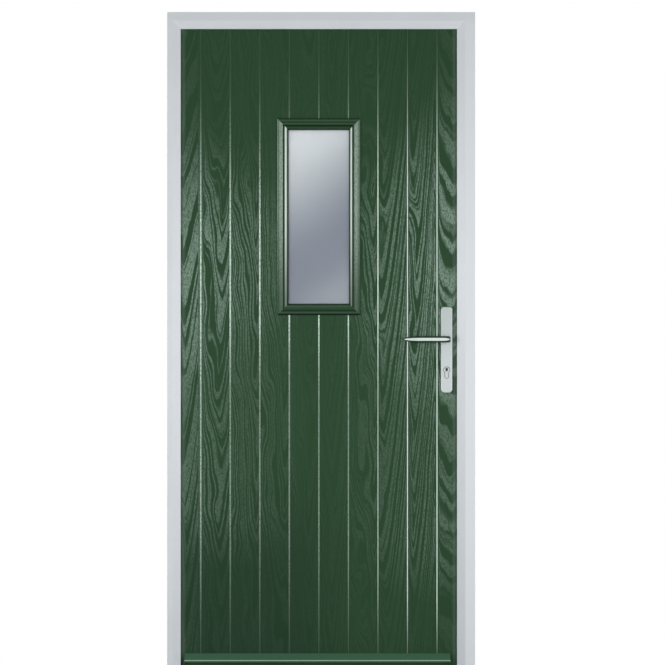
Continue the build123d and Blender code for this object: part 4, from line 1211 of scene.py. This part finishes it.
@dataclass
class Hardware:
    """Dark crosses that paint the shade in the drive recesses of the screw heads of the hinges and of the
    inner surround.
    """

    # The dark finish that paints the shade in the drive recesses.
    slot: str = "seal_rubber"
    hinge_heights: tuple[float, ...] = (0.2, 1.0, 1.8)
    flag_face: float = 0.026
    frame_flag_x: float = -0.4535
    frame_flag_rows: tuple[float, ...] = (-0.032, 0.0, 0.032)
    leaf_flag_x: tuple[float, ...] = (-0.4145, -0.3905)
    leaf_flag_rows: tuple[float, ...] = (-0.03, 0.03)
    light_centre: Span = (-0.007, 1.386)
    boss_half: Span = (0.108, 0.278)
    boss_rows: tuple[float, ...] = (-0.19, 0.0, 0.19)
    boss_face: float = 0.0305

    def drive_shades(self) -> list[ScrewDriveShades]:
        """List the sets of screw heads with their bodies.

        Returns:
            The sets of the frame flags, the leaf flags and the surround.
        """
        frame_heads = [
            (self.frame_flag_x, self.flag_face, z + row)
            for z in self.hinge_heights
            for row in self.frame_flag_rows
        ]
        leaf_heads = [
            (x, self.flag_face, z + row)
            for z in self.hinge_heights
            for x in self.leaf_flag_x
            for row in self.leaf_flag_rows
        ]
        x, z = self.light_centre
        light_heads = [
            (x + side * self.boss_half[0], self.boss_face, z + row)
            for side in (-1, 1)
            for row in self.boss_rows
        ] + [(x, self.boss_face, z + side * self.boss_half[1]) for side in (-1, 1)]
        return [
            ScrewDriveShades("frame_hinge_drive_shades", "frame_set", Side.ROOM, frame_heads),
            ScrewDriveShades("leaf_hinge_drive_shades", "leaf_set", Side.ROOM, leaf_heads),
            ScrewDriveShades("surround_drive_shades", "leaf_set", Side.ROOM, light_heads),
        ]

    def build(self, shop: FinishShop) -> None:
        """Make every set of dark crosses that paint the shade in the recesses."""
        for drive in self.drive_shades():
            drive.build(shop.materials[self.slot], self.slot)


@dataclass
class Studio:
    """Floor, light and camera at the photo's viewing angle."""

    image_pixels: float = 665.0
    metres_per_pixel: float = 0.003
    centre_x: float = 0.034
    centre_z: float = 1.0385
    distance: float = 12.0
    front: float = -0.048
    sensor: float = 36.0
    clip_end: float = 100.0
    world_level: float = 0.25
    lamp_watts: float = 27.0
    lamp_size: Span = (0.9, 1.0)
    lamp_place: Triple = (1.3, 2.4, 1.08)
    floor_half: float = 4.0
    floor_z: float = -0.0005
    floor_tone: float = 0.82
    floor_share: float = 0.4
    floor_glow: float = 1.5
    shadow_half: Triple = (0.46, 0.08, 0.0)
    shadow_fade: Span = (0.0, 0.38)

    def camera(self) -> None:
        """Level long-lens camera, square on to the outside of the door."""
        data = bpy.data.cameras.new("viewer")
        data.sensor_width = self.sensor
        data.lens = self.sensor * self.distance / (self.image_pixels * self.metres_per_pixel)
        data.clip_end = self.clip_end
        camera = bpy.data.objects.new("viewer", data)
        camera.location = (self.centre_x, self.front - self.distance, self.centre_z)
        camera.rotation_euler = (math.radians(90.0), 0.0, 0.0)
        show(camera)
        bpy.context.scene.camera = camera

    def lamps(self) -> None:
        """Soft lamps left and right of each side, those of the room not mirrored in its clear pane."""
        x, y, z = self.lamp_place
        for face in Side:
            for hand, across in (("left", -x), ("right", x)):
                name = f"lamp_{face.name.lower()}_{hand}"
                data = bpy.data.lights.new(name, "AREA")
                data.shape = "RECTANGLE"
                data.size, data.size_y = self.lamp_size
                data.energy = self.lamp_watts
                lamp = bpy.data.objects.new(name, data)
                lamp.location = (across, face.value * y, z)
                aim = Vector((0.0, 0.0, z)) - lamp.location
                lamp.rotation_euler = aim.to_track_quat("-Z", "Y").to_euler()
                lamp.visible_camera = False
                lamp.visible_glossy = face is Side.OUTSIDE
                lamp.visible_transmission = face is Side.OUTSIDE
                show(lamp)

    def world(self) -> None:
        """White to the eye and in reflections, and a plain soft light elsewhere."""
        world = bpy.data.worlds.new("plain_white")
        bpy.context.scene.world = world
        graph = blank(world)
        seen = graph.rays("Is Camera Ray", "Is Glossy Ray", "Is Transmission Ray")
        level = graph.math("MULTIPLY_ADD", seen, 1.0 - self.world_level, self.world_level)
        light = graph.add("ShaderNodeBackground", {"Color": WHITE, "Strength": level})
        graph.add("ShaderNodeOutputWorld", {"Surface": light.outputs[0]})

    def floor_finish(self) -> Material:
        """Matt floor that keeps the shadow near the door, where it also glows less and so adds a painted
        soft shadow, and fades to white around it.

        Returns:
            The material.
        """
        material = bpy.data.materials.new("pale_floor")
        graph = blank(material)
        past = graph.vector("SUBTRACT", graph.vector("ABSOLUTE", graph.place())[0], self.shadow_half)[0]
        reach = graph.vector("LENGTH", graph.vector("MAXIMUM", past)[0])["Value"]
        # Close to the door the floor glows less: a painted soft shadow round the foot, on top of the real
        # one.
        share = graph.ramp(reach, *self.shadow_fade, self.floor_share, 1.0)
        level = graph.ramp(reach, *self.shadow_fade, self.floor_glow, 1.0)
        seen = graph.product(graph.rays("Is Camera Ray", "Is Glossy Ray"), share)
        matt = graph.add("ShaderNodeBsdfDiffuse", {"Color": (*[self.floor_tone] * 3, 1.0)})
        glow = graph.add("ShaderNodeEmission", {"Color": WHITE, "Strength": level})
        blend = graph.add("ShaderNodeMixShader", {0: seen, 1: matt.outputs[0], 2: glow.outputs[0]})
        graph.add("ShaderNodeOutputMaterial", {"Surface": blend.outputs[0]})
        return material

    def floor(self) -> None:
        """Square floor under the door."""
        mesh = bpy.data.meshes.new("floor")
        signs = ((-1, -1), (1, -1), (1, 1), (-1, 1))
        corners = [(x * self.floor_half, y * self.floor_half, self.floor_z) for x, y in signs]
        mesh.from_pydata(corners, [], [(0, 1, 2, 3)])
        mesh.materials.append(self.floor_finish())
        floor = bpy.data.objects.new("floor", mesh)
        show(floor)

    def build(self) -> None:
        """Set the view, the light and the floor."""
        bpy.context.scene.view_settings.view_transform = "Standard"
        self.camera()
        self.lamps()
        self.world()
        self.floor()


def main() -> None:
    """Build the studio, dress the solids and add the pieces that Blender makes."""
    logging.basicConfig(level=logging.INFO, format="%(name)s %(message)s")
    Studio().build()
    shop = FinishShop(FINISHES)
    shop.dress()
    Hardware().build(shop)


if __name__ == "__main__":
    main()
